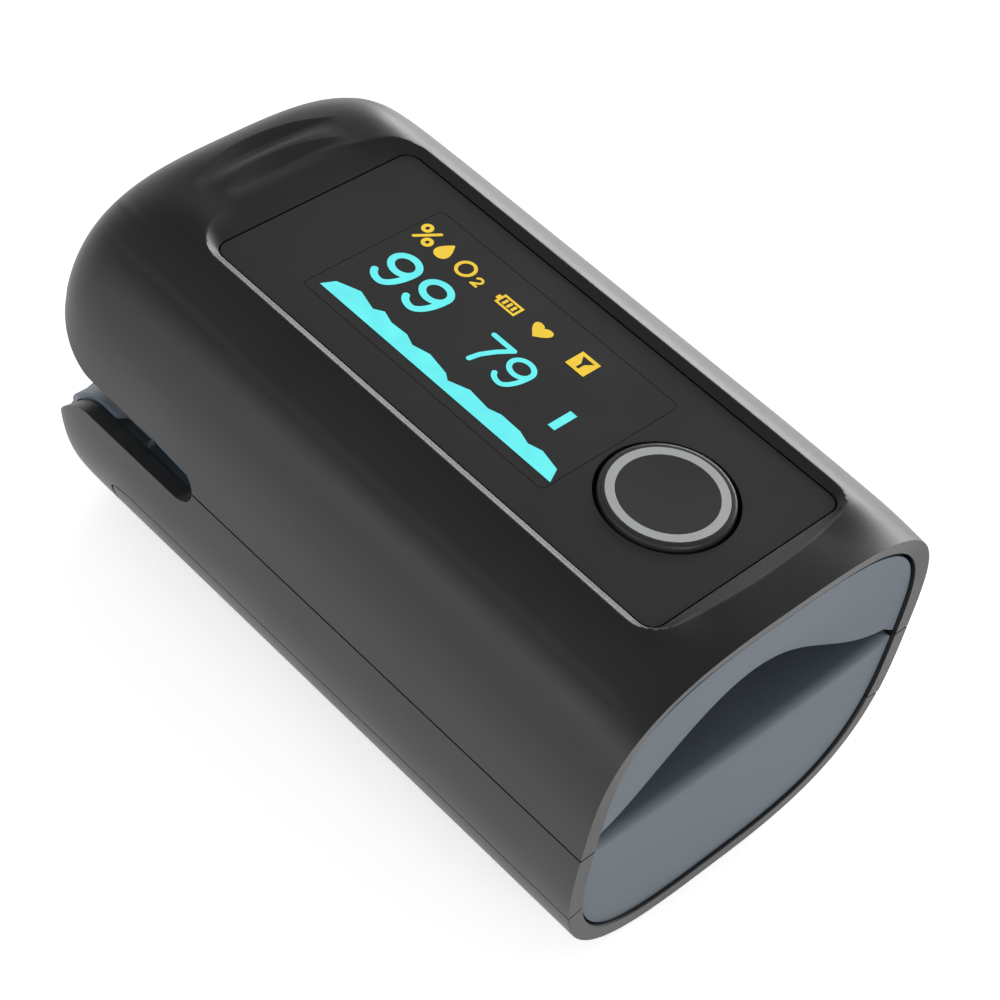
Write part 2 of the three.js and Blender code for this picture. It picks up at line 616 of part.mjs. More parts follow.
function upperFrame() {
  const low = PAD_SKIN + SEAT;
  const arch = archLayer(low, low + FRAME_SKIN, channelEndX, apronRearX - GAP);
  const wings = [1, -1].map((side) => {
    const y0 = side > 0 ? ARCH_HALF - 1.6 : -WIDTH / 2;
    const y1 = side > 0 ? WIDTH / 2 : 1.6 - ARCH_HALF;
    return box(channelEndX - JOIN_LAP, apronRearX - GAP, y0, y1, wingLow, wingTop);
  });
  const floor = leverFloor(UPPER_NOSE_Z + GAP, floorLow, FLOOR_THICK, channelEndX);
  const endWall = common(
    archPrism(low + FRAME_SKIN, channelEndX - JOIN_LAP, channelEndX + 0.2),
    box(REAR, FRONT, -ARCH_HALF, ARCH_HALF, wingLow, HEIGHT));
  const body = common(join(arch, ...wings, floor, endWall), upperInside(GAP / 2));
  const ledHalf = LED_HALF + 0.2;
  const ledHole = box(
    OPTIC_X - ledHalf, OPTIC_X + ledHalf, -ledHalf, ledHalf, archTopZ, ledTop + CUT_REACH);
  const slotHalf = CABLE_HALF + 0.6;
  const cableSlot = box(
    CABLE_X - 1.2, CABLE_X + 1.2, -slotHalf, slotHalf, floorLow - 1, floorTop + 1);
  const under = wingLow - CUT_REACH;
  const shafts = screwHoles(upperScrews, SCREW_RADIUS, under, floorTop + CUT_REACH);
  const [frontPair, rearPair] = [upperScrews.slice(0, 2), upperScrews.slice(2)];
  const frontHeads = screwHoles(frontPair, SCREW_HEAD_RADIUS, under, wingLow + SCREW_HEAD);
  const rearHeads = screwHoles(rearPair, SCREW_HEAD_RADIUS, under, floorLow + SCREW_HEAD);
  const frame = cut(body, ledHole, cableSlot, ...shafts, ...frontHeads, ...rearHeads);
  const withEars = join(frame, ...ears(UPPER_EAR_Y, floorTop));
  piece("upper_frame", cut(withEars, pinBore()), FRAME_GREY);
}

function upperPad() {
  const skin = archLayer(0, PAD_SKIN, CHANNEL_REAR_X, apronRearX + GAP);
  const span = [-WIDTH / 2, WIDTH / 2];
  const apron = box(apronRearX, padFrontX, ...span, SEAM_Z + GAP, HEIGHT);
  const endWall = common(
    box(channelEndX + 0.25, CHANNEL_REAR_X + GAP, ...span, SEAM_Z + GAP, HEIGHT),
    join(archPrism(PAD_SKIN, REAR, FRONT), box(REAR, FRONT, ...span, 0, wingBase)));
  const opening = archPrism(0, CHANNEL_REAR_X, FRONT + 1);
  const lip = join(cut(apron, opening), skin);
  const body = common(join(lip, endWall), upperInside(GAP));
  const lensHole = disc("z", OPTIC_X, 0, padTop, HEIGHT, LENS_RADIUS + GAP, 20);
  piece("upper_pad", cut(body, lensHole), BLUE_GREY);
}

// The lens stands slightly proud of the roof and seats under the frame.
function emitter() {
  const roof = archTopZ;
  const frameLow = roof + PAD_SKIN + SEAT;
  const half = SMALL_BOARD_HALF;
  const lensTop = roofAt(LENS_RADIUS) + PAD_SKIN;
  const lens = [
    [0, roof - 0.3], [LENS_RADIUS - 0.3, roof - 0.3], [LENS_RADIUS, roof],
    [LENS_RADIUS, lensTop], [0, lensTop],
  ];
  piece("emitter_lens", turned(lens, "z", OPTIC_X, 0, 0, 20), CLEAR_LENS);
  const led = box(
    OPTIC_X - LED_HALF, OPTIC_X + LED_HALF, -LED_HALF, LED_HALF, frameLow + 0.1, ledTop);
  piece("emitter_led", led, CLEAR_LENS);
  const board = box(
    OPTIC_X - half, OPTIC_X + half, -half, half, ledTop, ledTop + SMALL_BOARD_THICK);
  piece("emitter_board", board, GREEN_BOARD);
}

// ================= Lower half =================

function lowerInside(extra) {
  return envelope(lowerProfile, WALL + extra);
}

function bossesInBand() {
  return lowerScrews.map(([x, y]) => {
    const top = trayLow - GAP / 2;
    const outer = Math.sign(y) * (WIDTH / 2);
    const low = railTop + 2 * GAP;
    const web = box(x - 0.6, x + 0.6, Math.min(y, outer), Math.max(y, outer), low, top);
    const post = join(disc("z", x, y, low, top, POST_RADIUS, 12), web);
    const bore = disc("z", x, y, top - SCREW_LENGTH, top + 1, SCREW_RADIUS + PIN_FIT, 12);
    return cut(common(post, lowerInside(-0.3)), bore);
  });
}

const railX = doorRearX + 1;

// The part of the body section deeper than inset, between two heights, in front of the door's end.
function railSpace(inset, low, high) {
  const span = box(railX - GAP, FRONT + 1, -WIDTH, WIDTH, low, high);
  return common(section(inset, railX - GAP, FRONT + 1), span);
}

function lowerShell() {
  const shell = cut(envelope(lowerProfile, 0), lowerInside(0));
  const doorSpace = box(
    doorRearX - GAP / 2, FRONT + 1, -WIDTH, WIDTH, -1, DOOR_SEAM_Z + GAP / 2);
  const tongueInset = WALL - TONGUE - RAIL_FIT;
  const lap = railSpace(tongueInset, 0, railTop + RAIL_FIT);
  const groove = railSpace(
    tongueInset - BEAD, railTop - BEAD_HEIGHT - RAIL_FIT, railTop + RAIL_FIT);
  const sillX = doorRearX - GAP / 2;
  const sillTop = WALL + 1.1;
  const sill = box(sillX - 1.3, sillX + 2.4, -2, 2, WALL + 0.2, sillTop);
  const sillRoot = box(sillX - 1.3, sillX, -2, 2, WALL - 0.5, sillTop);
  const body = cut(shell, doorSpace, lap, groove);
  piece("lower_shell", join(body, sill, sillRoot, ...bossesInBand()), CHARCOAL);
}

function batteryDoor() {
  const x0 = doorRearX + GAP / 2;
  const below = box(x0, FRONT + 1, -WIDTH, WIDTH, -1, DOOR_SEAM_Z - GAP / 2);
  const cover = common(cut(section(0, x0, FRONT), section(WALL, x0 - 1, FRONT + 1)), below);
  const inner = section(WALL, x0 - 1, FRONT + 1);
  const endX = FRONT - APRON_SETBACK;
  const tongue = common(
    cut(section(WALL - TONGUE, x0, FRONT), inner),
    box(railX, endX, -WIDTH, WIDTH, DOOR_SEAM_Z - 1.5, railTop));
  const bead = common(
    cut(section(WALL - TONGUE - BEAD, x0, FRONT), inner),
    box(railX, endX, -WIDTH, WIDTH, railTop - BEAD_HEIGHT, railTop));
  piece("battery_door", join(cover, tongue, bead), CHARCOAL);
}

function lowerFrame() {
  const plate = leverFloor(LOWER_NOSE_Z - GAP, trayTop, -TRAY_THICK, apronRearX - GAP);
  const skirts = [1, -1].map((side) => {
    const y0 = side > 0 ? SKIRT_Y : -SKIRT_Y - SKIRT_THICK;
    return box(cellRearX, plateX + 1, y0, y0 + SKIRT_THICK, cellZ - 2.8, trayLow + 0.4);
  });
  const endWall = box(
    plateX + 0.6, plateX + 1.6, -SKIRT_Y - SKIRT_THICK, SKIRT_Y + SKIRT_THICK, 0, trayLow + 0.4);
  const ribHalf = 0.7;
  const rib = box(cellRearX + 2, cellFrontX - 2, -ribHalf, ribHalf, trayLow - 2, trayLow + 0.4);
  const inside = lowerInside(GAP);
  const body = common(join(plate, ...skirts, endWall, rib), inside);
  const half = SMALL_BOARD_HALF + 0.2;
  const pocket = box(OPTIC_X - half, OPTIC_X + half, -half, half, trayLow + 0.1, trayTop + 1);
  const ledge = box(OPTIC_X - half, OPTIC_X + half, -half, half, trayLow - 0.5, trayLow + 0.3);
  const holes = screwHoles(lowerScrews, SCREW_RADIUS, trayLow - CUT_REACH, trayTop + CUT_REACH);
  const frame = cut(body, cut(pocket, ledge), ...holes);
  const withEars = join(frame, ...ears(LOWER_EAR_Y, trayLow + 0.2));
  piece("lower_frame", cut(withEars, pinBore()), FRAME_GREY);
}

function lowerPad() {
  const span = [-WIDTH / 2, WIDTH / 2];
  const slab = box(CHANNEL_REAR_X, padFrontX, ...span, padLow, padTop);
  const apron = box(apronRearX, padFrontX, ...span, 0, padTop);
  const dish = squaredArc(
    0, padTop, TROUGH_HALF, TROUGH_DEPTH, TROUGH_POWER, Math.PI, 2 * Math.PI, 12);
  const rim = [[TROUGH_HALF, padTop + 1], [-TROUGH_HALF, padTop + 1]];
  const trough = prism([...dish, ...rim], "x", CHANNEL_REAR_X + APRON_THICK, FRONT + 1);
  const body = common(join(slab, apron), lowerInside(GAP));
  const lensHole = disc("z", OPTIC_X, 0, 8, 20, LENS_RADIUS + GAP, 20);
  const heads = lowerScrews.map(([x, y]) =>
    disc("z", x, y, padLow - 1, trayTop + SCREW_HEAD + GAP, SCREW_HEAD_RADIUS + 0.25, 12));
  piece("lower_pad", cut(body, trough, lensHole, ...heads), BLUE_GREY);
}

function receiver() {
  const half = SMALL_BOARD_HALF;
  const low = trayLow + 0.3;
  const top = low + SMALL_BOARD_THICK;
  piece("sensor_board", box(OPTIC_X - half, OPTIC_X + half, -half, half, low, top), GREEN_BOARD);
  const eye = box(OPTIC_X - 1.6, OPTIC_X + 1.6, -1.6, 1.6, top, top + 0.45);
  piece("photodiode", eye, CHIP_BLACK);
  const lensLow = top + 0.5;
  const lens = [
    [0, lensLow], [LENS_RADIUS, lensLow], [LENS_RADIUS, troughZ - 0.15],
    [LENS_RADIUS - 0.2, troughZ + 0.05], [0, troughZ + 0.05],
  ];
  piece("sensor_lens", turned(lens, "z", OPTIC_X, 0, 0, 20), CLEAR_LENS);
}

// ================= Battery bay =================

function cells() {
  const body = CELL_LENGTH - CELL_NUB;
  const chamfer = 0.5;
  const profile = [
    [0, 0], [CELL_RADIUS - chamfer, 0], [CELL_RADIUS, chamfer], [CELL_RADIUS, body - chamfer],
    [CELL_RADIUS - chamfer, body], [CELL_NUB_RADIUS, body], [CELL_NUB_RADIUS, CELL_LENGTH],
    [0, CELL_LENGTH],
  ];
  const forward = turned(profile, "x", -CELL_Y, cellZ, cellRearX);
  piece("battery_1", forward, CELL_BLUE);
  const turnedRound = profile.map(([radius, h]) => [radius, CELL_LENGTH - h]).reverse();
  piece("battery_2", turned(turnedRound, "x", CELL_Y, cellZ, cellRearX), CELL_BLUE);
}

function coneSpring(x0, x1, y, r0, r1, turns) {
  const steps = turns * 8;
  const points = Array.from({ length: steps + 1 }, (_, i) => {
    const share = i / steps;
    const angle = share * turns * 2 * Math.PI;
    const radius = r0 + (r1 - r0) * share;
    const x = x0 + (x1 - x0) * share;
    return [x, y + radius * Math.cos(angle), cellZ + radius * Math.sin(angle)];
  });
  return wire(points, 0.25, steps + 4);
}

function contacts() {
  const half = 4;
  const thick = CONTACT_THICK;
  const low = cellZ - half;
  const high = cellZ + half;
  // Front end: a plate with a raised bump for the positive nub, and a spring for the other cell.
  const plate = box(plateX, plateX + thick, -CELL_Y - half, -CELL_Y + half, low, high);
  const bump = disc("x", -CELL_Y, cellZ, cellFrontX + 0.15, plateX + 0.1, 1.6, 12);
  piece("battery_plate_plus", join(plate, bump), GOLD);
  const minus = box(plateX, plateX + thick, CELL_Y - half, CELL_Y + half, low, high);
  piece("battery_plate_minus", minus, STEEL);
  const spring = coneSpring(plateX - 0.3, cellFrontX + 0.4, CELL_Y, 3, 1.8, 3);
  piece("battery_spring_minus", spring, STEEL);
  // Rear end: one plate joins the two cells.
  const rearX = cellRearX - 0.9;
  const bridge = box(rearX, rearX + thick, -CELL_Y - 2.6, CELL_Y + 2.6, cellZ - 2.6, cellZ + 2.6);
  piece("bridge_contact", bridge, STEEL);
}

// ================= Hinge =================

function hinge() {
  const pin = disc("y", HINGE_X, HINGE_Z, -PIN_HALF, PIN_HALF, PIN_RADIUS, 24);
  piece("hinge_pin", pin, STEEL);
  const coil = 1.7;
  const turns = 4;
  const wireRadius = 0.3;
  [1, -1].forEach((side) => {
    const start = 3.6;
    const pitch = 1.1;
    const steps = turns * 8;
    const leg0 = Math.PI * 0.75;
    const points = Array.from({ length: steps + 1 }, (_, i) => {
      const angle = leg0 + (i / steps) * (turns * 2 + 0.5) * Math.PI;
      const y = side * (start + (pitch * turns * i) / steps);
      return [HINGE_X + coil * Math.cos(angle), y, HINGE_Z + coil * Math.sin(angle)];
    });
    const y0 = side * start;
    const y1 = side * (start + pitch * turns);
    const legX = HINGE_X - 7.5;
    const upLeg = [[legX, y0, floorLow - 0.45], [legX + 3.5, y0, floorLow - 0.7]];
    const lowLeg = [[legX + 3.5, y1, trayTop + 0.7], [legX, y1, trayTop + 0.45]];
    const name = side > 0 ? "torsion_spring_left" : "torsion_spring_right";
    piece(name, wire([...upLeg, ...points, ...lowLeg], wireRadius, steps + 12), STEEL);
  });
}

// ================= Cable and screws =================

// Flat cable from the socket down past the hinge, then forward between tray and lower pad.
function flexCable() {
  const x = CABLE_X;
  const low = trayTop + 0.08;
  const end = OPTIC_X - SMALL_BOARD_HALF - 0.4;
  const outer = [[x, socketLow - 0.05], [x, low + 1], [x + 0.3, low + 0.3], [x + 1, low], [end, low]];
  const inner = [
    [end, low + CABLE_THICK], [x + 1.1, low + CABLE_THICK], [x + 0.45, low + 0.45],
    [x + CABLE_THICK, low + 1.1], [x + CABLE_THICK, socketLow - 0.05],
  ];
  piece("flex_cable", prism([...outer, ...inner], "y", -CABLE_HALF, CABLE_HALF), CABLE_AMBER);
}

function screw(name, x, y, headZ, direction) {
  const profile = [
    [0, 0], [SCREW_HEAD_RADIUS, 0], [SCREW_HEAD_RADIUS, SCREW_HEAD - 0.1],
    [SCREW_RADIUS, SCREW_HEAD - 0.1], [SCREW_RADIUS, SCREW_HEAD + SCREW_LENGTH - 1],
    [0, SCREW_HEAD + SCREW_LENGTH - 0.6],
  ];
  const flipped = profile.map(([radius, h]) => [radius, -h]).reverse();
  piece(name, turned(direction > 0 ? profile : flipped, "z", x, y, headZ, 12), STEEL);
}

function screws() {
  upperScrews.forEach(([x, y], i) => {
    const seat = (i < 2 ? wingLow : floorLow) + SCREW_HEAD;
    screw(`upper_screw_${i + 1}`, x, y, seat - SCREW_HEAD + 0.05, 1);
  });
  lowerScrews.forEach(([x, y], i) => {
    screw(`lower_screw_${i + 1}`, x, y, trayTop + SCREW_HEAD, -1);
  });
}

upperShell();
displayWindow();
powerButton();
display();
mainBoard();
upperFrame();
upperPad();
emitter();
lowerShell();
batteryDoor();
lowerFrame();
lowerPad();
receiver();
cells();
contacts();
hinge();
flexCable();
screws();

export default group;
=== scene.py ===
"""A fingertip pulse oximeter: fine surfaces, finishes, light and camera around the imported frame."""
import json
import math

import bmesh
import bpy
import numpy as np
from mathutils import Euler, Matrix, Vector


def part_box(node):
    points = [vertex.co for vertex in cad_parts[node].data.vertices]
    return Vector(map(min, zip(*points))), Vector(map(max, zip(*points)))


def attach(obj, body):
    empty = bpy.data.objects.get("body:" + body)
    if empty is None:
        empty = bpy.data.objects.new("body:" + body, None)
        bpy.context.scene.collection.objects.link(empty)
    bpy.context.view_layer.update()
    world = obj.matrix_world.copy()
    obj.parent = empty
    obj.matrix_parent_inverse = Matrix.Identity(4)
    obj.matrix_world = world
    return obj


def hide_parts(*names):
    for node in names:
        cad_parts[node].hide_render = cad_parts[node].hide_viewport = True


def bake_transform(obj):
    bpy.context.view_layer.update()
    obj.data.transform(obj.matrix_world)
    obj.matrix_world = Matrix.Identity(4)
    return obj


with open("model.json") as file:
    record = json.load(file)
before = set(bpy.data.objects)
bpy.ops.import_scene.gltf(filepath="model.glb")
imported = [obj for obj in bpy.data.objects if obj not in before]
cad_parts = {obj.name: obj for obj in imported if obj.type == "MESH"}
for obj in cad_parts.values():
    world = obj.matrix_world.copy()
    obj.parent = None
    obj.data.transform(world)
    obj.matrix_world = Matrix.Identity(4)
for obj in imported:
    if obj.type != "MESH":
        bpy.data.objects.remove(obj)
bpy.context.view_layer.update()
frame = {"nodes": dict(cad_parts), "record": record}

MM = 0.001


def corners(node):
    """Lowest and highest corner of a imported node, in millimetres."""
    low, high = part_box(node)
    return low / MM, high / MM


# ---------------------------------------------------------------- sizes from the frame

upper_low, upper_high = corners("upper_shell")
lower_low, lower_high = corners("lower_shell")
door_low = corners("battery_door")[0]
panel_low, panel_high = corners("display_window")
cap_low, cap_high = corners("button_cap")
ring_low, ring_high = corners("button_ring")
pad_low = corners("upper_pad")[0]

FRONT = upper_high.x
REAR = upper_low.x
HALF = upper_high.y
TOP = upper_high.z - 0.2
SEAM = (upper_low.z + lower_high.z) / 2
SEAM_GAP = 0.16
WALL = 1.35
WIDEST = SEAM + 0.7
LOWER_REAR = lower_low.x
DOOR_REAR = door_low.x - 0.15
DOOR_SEAM = 8.5
PANEL_TOP = panel_high.z
PANEL_X = (panel_low.x + panel_high.x) / 2
PANEL_HALF = ((panel_high.x - panel_low.x) / 2, (panel_high.y - panel_low.y) / 2)
PANEL_RADIUS = 1.1
PANEL_GAP = 0.12
BUTTON_X = (cap_low.x + cap_high.x) / 2

# ---------------------------------------------------------------- body shape

UPPER_TAPER = 11.46  # length over which the rear end rounds off in plan
UPPER_PLAN = 4.56
LOWER_TAPER = 9.4
LOWER_PLAN = 4.9
FRONT_POWER = 3.13  # squareness of the shoulders at the front face
MIDDLE_POWER = 3.35  # and along the middle
UNDER_POWER = 3.13
RIDGE_HEIGHT = 0.5
RIDGE_FALL = 2.3
UPPER_NOSE = 21.7  # height of the upper lever's rearmost line
UPPER_NOSE_TOP = 6.95
UPPER_NOSE_POWER = 2.85
LOWER_NOSE = 8.3
LOWER_NOSE_LONG = 4.2
LOWER_NOSE_POWER = 1.8
SLOT_FRONT = -10.3
SLOT_RADIUS = 2
SLOT_TOP = 17.55
SLOT_LOW = 13.87
MOUTH_START = -22.45  # from here the slot widens towards the lever ends
MOUTH_LONG = 4.7
MOUTH_POWER = 1.6


def rounding(share, power):
    """Height of a squared quarter circle, from 1 where share is 0 to 0 where share is 1."""
    share = np.clip(share, 0, 1)
    return (1 - share ** power) ** (1 / power)


def ease(value):
    value = np.clip(value, 0, 1)
    return value * value * (3 - 2 * value)


def plan_half(x):
    return HALF * rounding((REAR + UPPER_TAPER - x) / UPPER_TAPER, UPPER_PLAN)


def lower_plan(x):
    return HALF * rounding((LOWER_REAR + LOWER_TAPER - x) / LOWER_TAPER, LOWER_PLAN)


def crown(x):
    """Top of the body at x, which dips a little to the front rim."""
    nose = TOP - UPPER_NOSE
    rear = UPPER_NOSE + nose * rounding((REAR + UPPER_NOSE_TOP - x) / UPPER_NOSE_TOP, UPPER_NOSE_POWER)
    return rear - 0.5 * np.clip((x - FRONT + 5) / 5, 0, 1) ** 2


def shoulder_power(x):
    to_front = np.clip((x - FRONT + 15) / 15, 0, 1) ** 1.6
    to_rear = np.clip((REAR + 15 - x) / 15, 0, 1) ** 1.6
    share = np.maximum(to_front, 0.8 * to_rear)
    return 1 / ((1 - share) / MIDDLE_POWER + share / FRONT_POWER)


def belly(x):
    """Lowest line of the body at x."""
    share = (LOWER_REAR + LOWER_NOSE_LONG - x) / LOWER_NOSE_LONG
    return LOWER_NOSE * (1 - rounding(share, LOWER_NOSE_POWER))


def upper_edge(x):
    """Lower edge of the upper shell's side: seam, slot end, slot and rounded lever end."""
    seam = SEAM + SEAM_GAP / 2
    end = np.clip((x - SLOT_FRONT + SLOT_RADIUS) / SLOT_RADIUS, 0, 1)
    slot = seam + (SLOT_TOP - seam) * np.sqrt(1 - end ** 2)
    nose = UPPER_NOSE - (UPPER_NOSE - SLOT_TOP) * rounding((MOUTH_START - x) / MOUTH_LONG, MOUTH_POWER)
    return np.where(x < MOUTH_START, nose, slot)


def lower_edge(x):
    """Upper edge of the lower shell's side."""
    seam = SEAM - SEAM_GAP / 2
    end = np.clip((x - SLOT_FRONT + SLOT_RADIUS) / SLOT_RADIUS, 0, 1)
    slot = seam - (seam - SLOT_LOW) * np.sqrt(1 - end ** 2)
    nose = LOWER_NOSE + (SLOT_LOW - LOWER_NOSE) * rounding((MOUTH_START - x) / MOUTH_LONG, MOUTH_POWER)
    return np.where(x < MOUTH_START, nose, slot)


def side_at(x, z):
    """Half-width of the upper half at x and height z."""
    up = np.clip((z - WIDEST) / np.maximum(crown(x) - WIDEST, 0.01), 0, 1)
    return plan_half(x) * rounding(up, shoulder_power(x))


def lower_side_at(x, z):
    """Half-width of the lower half at x and height z."""
    down = np.clip((WIDEST - z) / (WIDEST - belly(x)), 0, 1)
    return lower_plan(x) * rounding(down, UNDER_POWER)


def ridge(x, y):
    """Extra height of the ridges beside the window."""
    across = ease((np.abs(y) - 5.5) / 4.6) * np.exp(-(np.maximum(np.abs(y) - 10.2, 0) / RIDGE_FALL) ** 2)
    along = ease((x + 27) / 5) * (1 - ease((x - FRONT + 4) / 4))
    return RIDGE_HEIGHT * across * along


def top_at(x, y):
    share = np.abs(y) / np.maximum(plan_half(x), 0.01)
    return WIDEST + (crown(x) - WIDEST) * rounding(share, shoulder_power(x)) + ridge(x, y)


# ---------------------------------------------------------------- mesh helpers

def resampled(points, count):
    """A polyline's points, spread evenly along its length."""
    points = np.asarray(points, float)
    steps = np.linalg.norm(np.diff(points, axis=0), axis=1)
    along = np.concatenate([[0], np.cumsum(steps)])
    wanted = np.linspace(0, along[-1], count)
    return np.stack([np.interp(wanted, along, points[:, i]) for i in range(points.shape[1])], 1)


def stations(*stops):
    """Places along a line: pairs of (place, step to the next place), ending at a plain place."""
    found = [np.array([stops[0][0]])]
    for (start, step), after in zip(stops[:-1], stops[1:]):
        end = after[0] if isinstance(after, tuple) else after
        count = max(1, round((end - start) / step))
        found.append(np.linspace(start, end, count + 1)[1:])
    return np.concatenate(found)


def smooth(obj, angle=35):
    mesh = obj.data
    mesh.shade_smooth()
    mesh.set_sharp_from_angle(angle=math.radians(angle))
    return obj


def piece(name, points, faces, angle=35):
    """An object from points in millimetres. Doubled points are merged and stray ones dropped."""
    mesh = bpy.data.meshes.new(name)
    mesh.from_pydata([tuple(p) for p in np.asarray(points) * MM], [], faces)
    form = bmesh.new()
    form.from_mesh(mesh)
    bmesh.ops.remove_doubles(form, verts=form.verts, dist=0.002 * MM)
    bmesh.ops.delete(form, geom=[v for v in form.verts if not v.link_faces], context="VERTS")
    form.to_mesh(mesh)
    form.free()
    obj = bpy.data.objects.new(name, mesh)
    bpy.context.scene.collection.objects.link(obj)
    return smooth(obj, angle)


def sheet_faces(rows, columns, wanted=None):
    faces = []
    for i in range(rows - 1):
        for j in range(columns - 1):
            if wanted is None or wanted[i, j]:
                a = i * columns + j
                faces.append((a, a + 1, a + columns + 1, a + columns))
    return faces


def thicken(obj, thickness, edge=0.12, angle=50):
    """Gives a skin its wall, inwards, and rounds the wall's edges."""
    wall = obj.modifiers.new("wall", "SOLIDIFY")
    wall.thickness = thickness * MM
    wall.offset = -1
    rim = obj.modifiers.new("rounded edges", "BEVEL")
    rim.width = edge * MM
    rim.segments = 3
    rim.limit_method = "ANGLE"
    rim.angle_limit = math.radians(angle)
    rim.harden_normals = True
    return settle(obj)


def settle(obj):
    """Applies the modifiers."""
    graph = bpy.context.evaluated_depsgraph_get()
    made = bpy.data.meshes.new_from_object(obj.evaluated_get(graph))
    obj.modifiers.clear()
    obj.data = made
    return obj


def place(obj, body, slot, material, *nodes):
    """Puts a finished piece on its body, with its finish and the nodes that it stands for."""
    obj.data.materials.clear()
    obj.data.materials.append(material)
    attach(obj, body)
    if nodes:
        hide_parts(*nodes)
    return obj


def turned(name, profile, x, y, sides=128, angle=35):
    """A round piece about an upright axis, from (radius, height) pairs that end on the axis."""
    count = len(profile)
    points = []
    for i in range(sides):
        turn = 2 * math.pi * i / sides
        points += [(x + r * math.cos(turn), y + r * math.sin(turn), z) for r, z in profile]
    faces = []
    for i in range(sides):
        after = (i + 1) % sides
        for j in range(count - 1):
            corners_of = [i * count + j, after * count + j, after * count + j + 1, i * count + j + 1]
            faces.append(tuple(corners_of))
    obj = piece(name, points, faces, angle)
    form = bmesh.new()
    form.from_mesh(obj.data)
    bmesh.ops.dissolve_degenerate(form, edges=form.edges, dist=0.001 * MM)
    bmesh.ops.recalc_face_normals(form, faces=form.faces)
    form.to_mesh(obj.data)
    form.free()
    return smooth(obj, angle)


# ---------------------------------------------------------------- upper shell skin

POCKET_HALF = (PANEL_HALF[0] + PANEL_GAP, PANEL_HALF[1] + PANEL_GAP)
POCKET_RADIUS = PANEL_RADIUS + PANEL_GAP
CREST_SIDE = 10.25  # crest beside the window
CREST_FRONT = FRONT - 2.9
CREST_REAR = -21.75
CREST_RADIUS = 2.0
TOP_BAND = 11.6  # columns inside this width run straight along the body
GRIP_ARCS = [  # lip on the centre line, half-length across, depth
    (-25.85, 6.6, 0.5),
    (-23.25, 5.5, 0.42),
]
GRIP_WALL = 1.0  # length of a grip's front-facing wall, ahead of its lip
GRIP_RUN = 1.5  # length of the slope ahead of the wall
REAR_BOW = 0.037  # the grips and the rear crest bow forward by this times the square of y


def round_corners(x, y, centre, half, radius, fade):
    """Bends grid lines near the corners of a rectangle so that its outline is rounded."""
    u = np.abs(x - centre) - (half[0] - radius)
    v = np.abs(y) - (half[1] - radius)
    corner = (u > 0) & (v > 0)
    square = np.maximum(np.maximum(u, v), 1e-6)
    reach = np.hypot(np.maximum(u, 1e-6), np.maximum(v, 1e-6))
    weight = np.clip((fade - square) / (fade - radius), 0, 1)
    scale = np.where(corner, 1 + (square / reach - 1) * weight, 1)
    bent_x = centre + np.sign(x - centre) * (half[0] - radius + u * scale)
    bent_y = np.sign(y) * (half[1] - radius + v * scale)
    return np.where(corner, bent_x, x), np.where(corner, bent_y, y)


def outside_of(x, y, centre, half, radius):
    """Distance outside a rounded rectangle, negative inside."""
    u = np.abs(x - centre) - (half[0] - radius)
    v = np.abs(y) - (half[1] - radius)
    beyond = np.hypot(np.maximum(u, 0), np.maximum(v, 0))
    return beyond + np.minimum(np.maximum(u, v), 0) - radius


def outside_crest(x, y):
    """Distance outside the crest line around the window, whose ends bow outwards."""
    front = CREST_FRONT - 0.0107 * y ** 2
    rear = CREST_REAR + 0.0238 * y ** 2
    u = np.maximum(x - front, rear - x) + CREST_RADIUS
    v = np.abs(y) - CREST_SIDE + CREST_RADIUS
    beyond = np.hypot(np.maximum(u, 0), np.maximum(v, 0))
    return beyond + np.minimum(np.maximum(u, v), 0) - CREST_RADIUS


def sunk(x, y, z):
    """The window's sunk surround: a ramp from the window's edge up to the crest."""
    from_window = np.maximum(outside_of(x, y, PANEL_X, POCKET_HALF, POCKET_RADIUS), 0)
    to_crest = np.maximum(-outside_crest(x, y), 0)
    share = from_window / np.maximum(from_window + to_crest, 1e-6)
    share = np.where(to_crest <= 0, 1, share)
    ramp = share ** 1.25
    floor = PANEL_TOP + 0.02
    return floor + (z - floor) * ramp


def gripped(x, y, z):
    """Finger grips on the rear of the top: shallow slopes that end in a curved lip."""
    for lip, half, depth in GRIP_ARCS:
        share = np.clip(1 - (y / half) ** 2, 0, 1)
        ahead = x - (lip + REAR_BOW * y ** 2)
        wall = GRIP_WALL * np.maximum(share, 0.05) ** 0.7
        drop = np.clip(ahead / wall, 0, 1)
        slope = 1 - ease((ahead - wall) / GRIP_RUN)
        z = z - depth * share * drop * slope
    return z


def bowed(x, y):
    """Bends the rows at the rear of the top forwards, along the grips and the rear crest."""
    near = ease((x + 29) / 3) * (1 - ease((x + 22.9) / 4.3))
    return x + near * REAR_BOW * np.minimum(np.abs(y), 6.9) ** 2


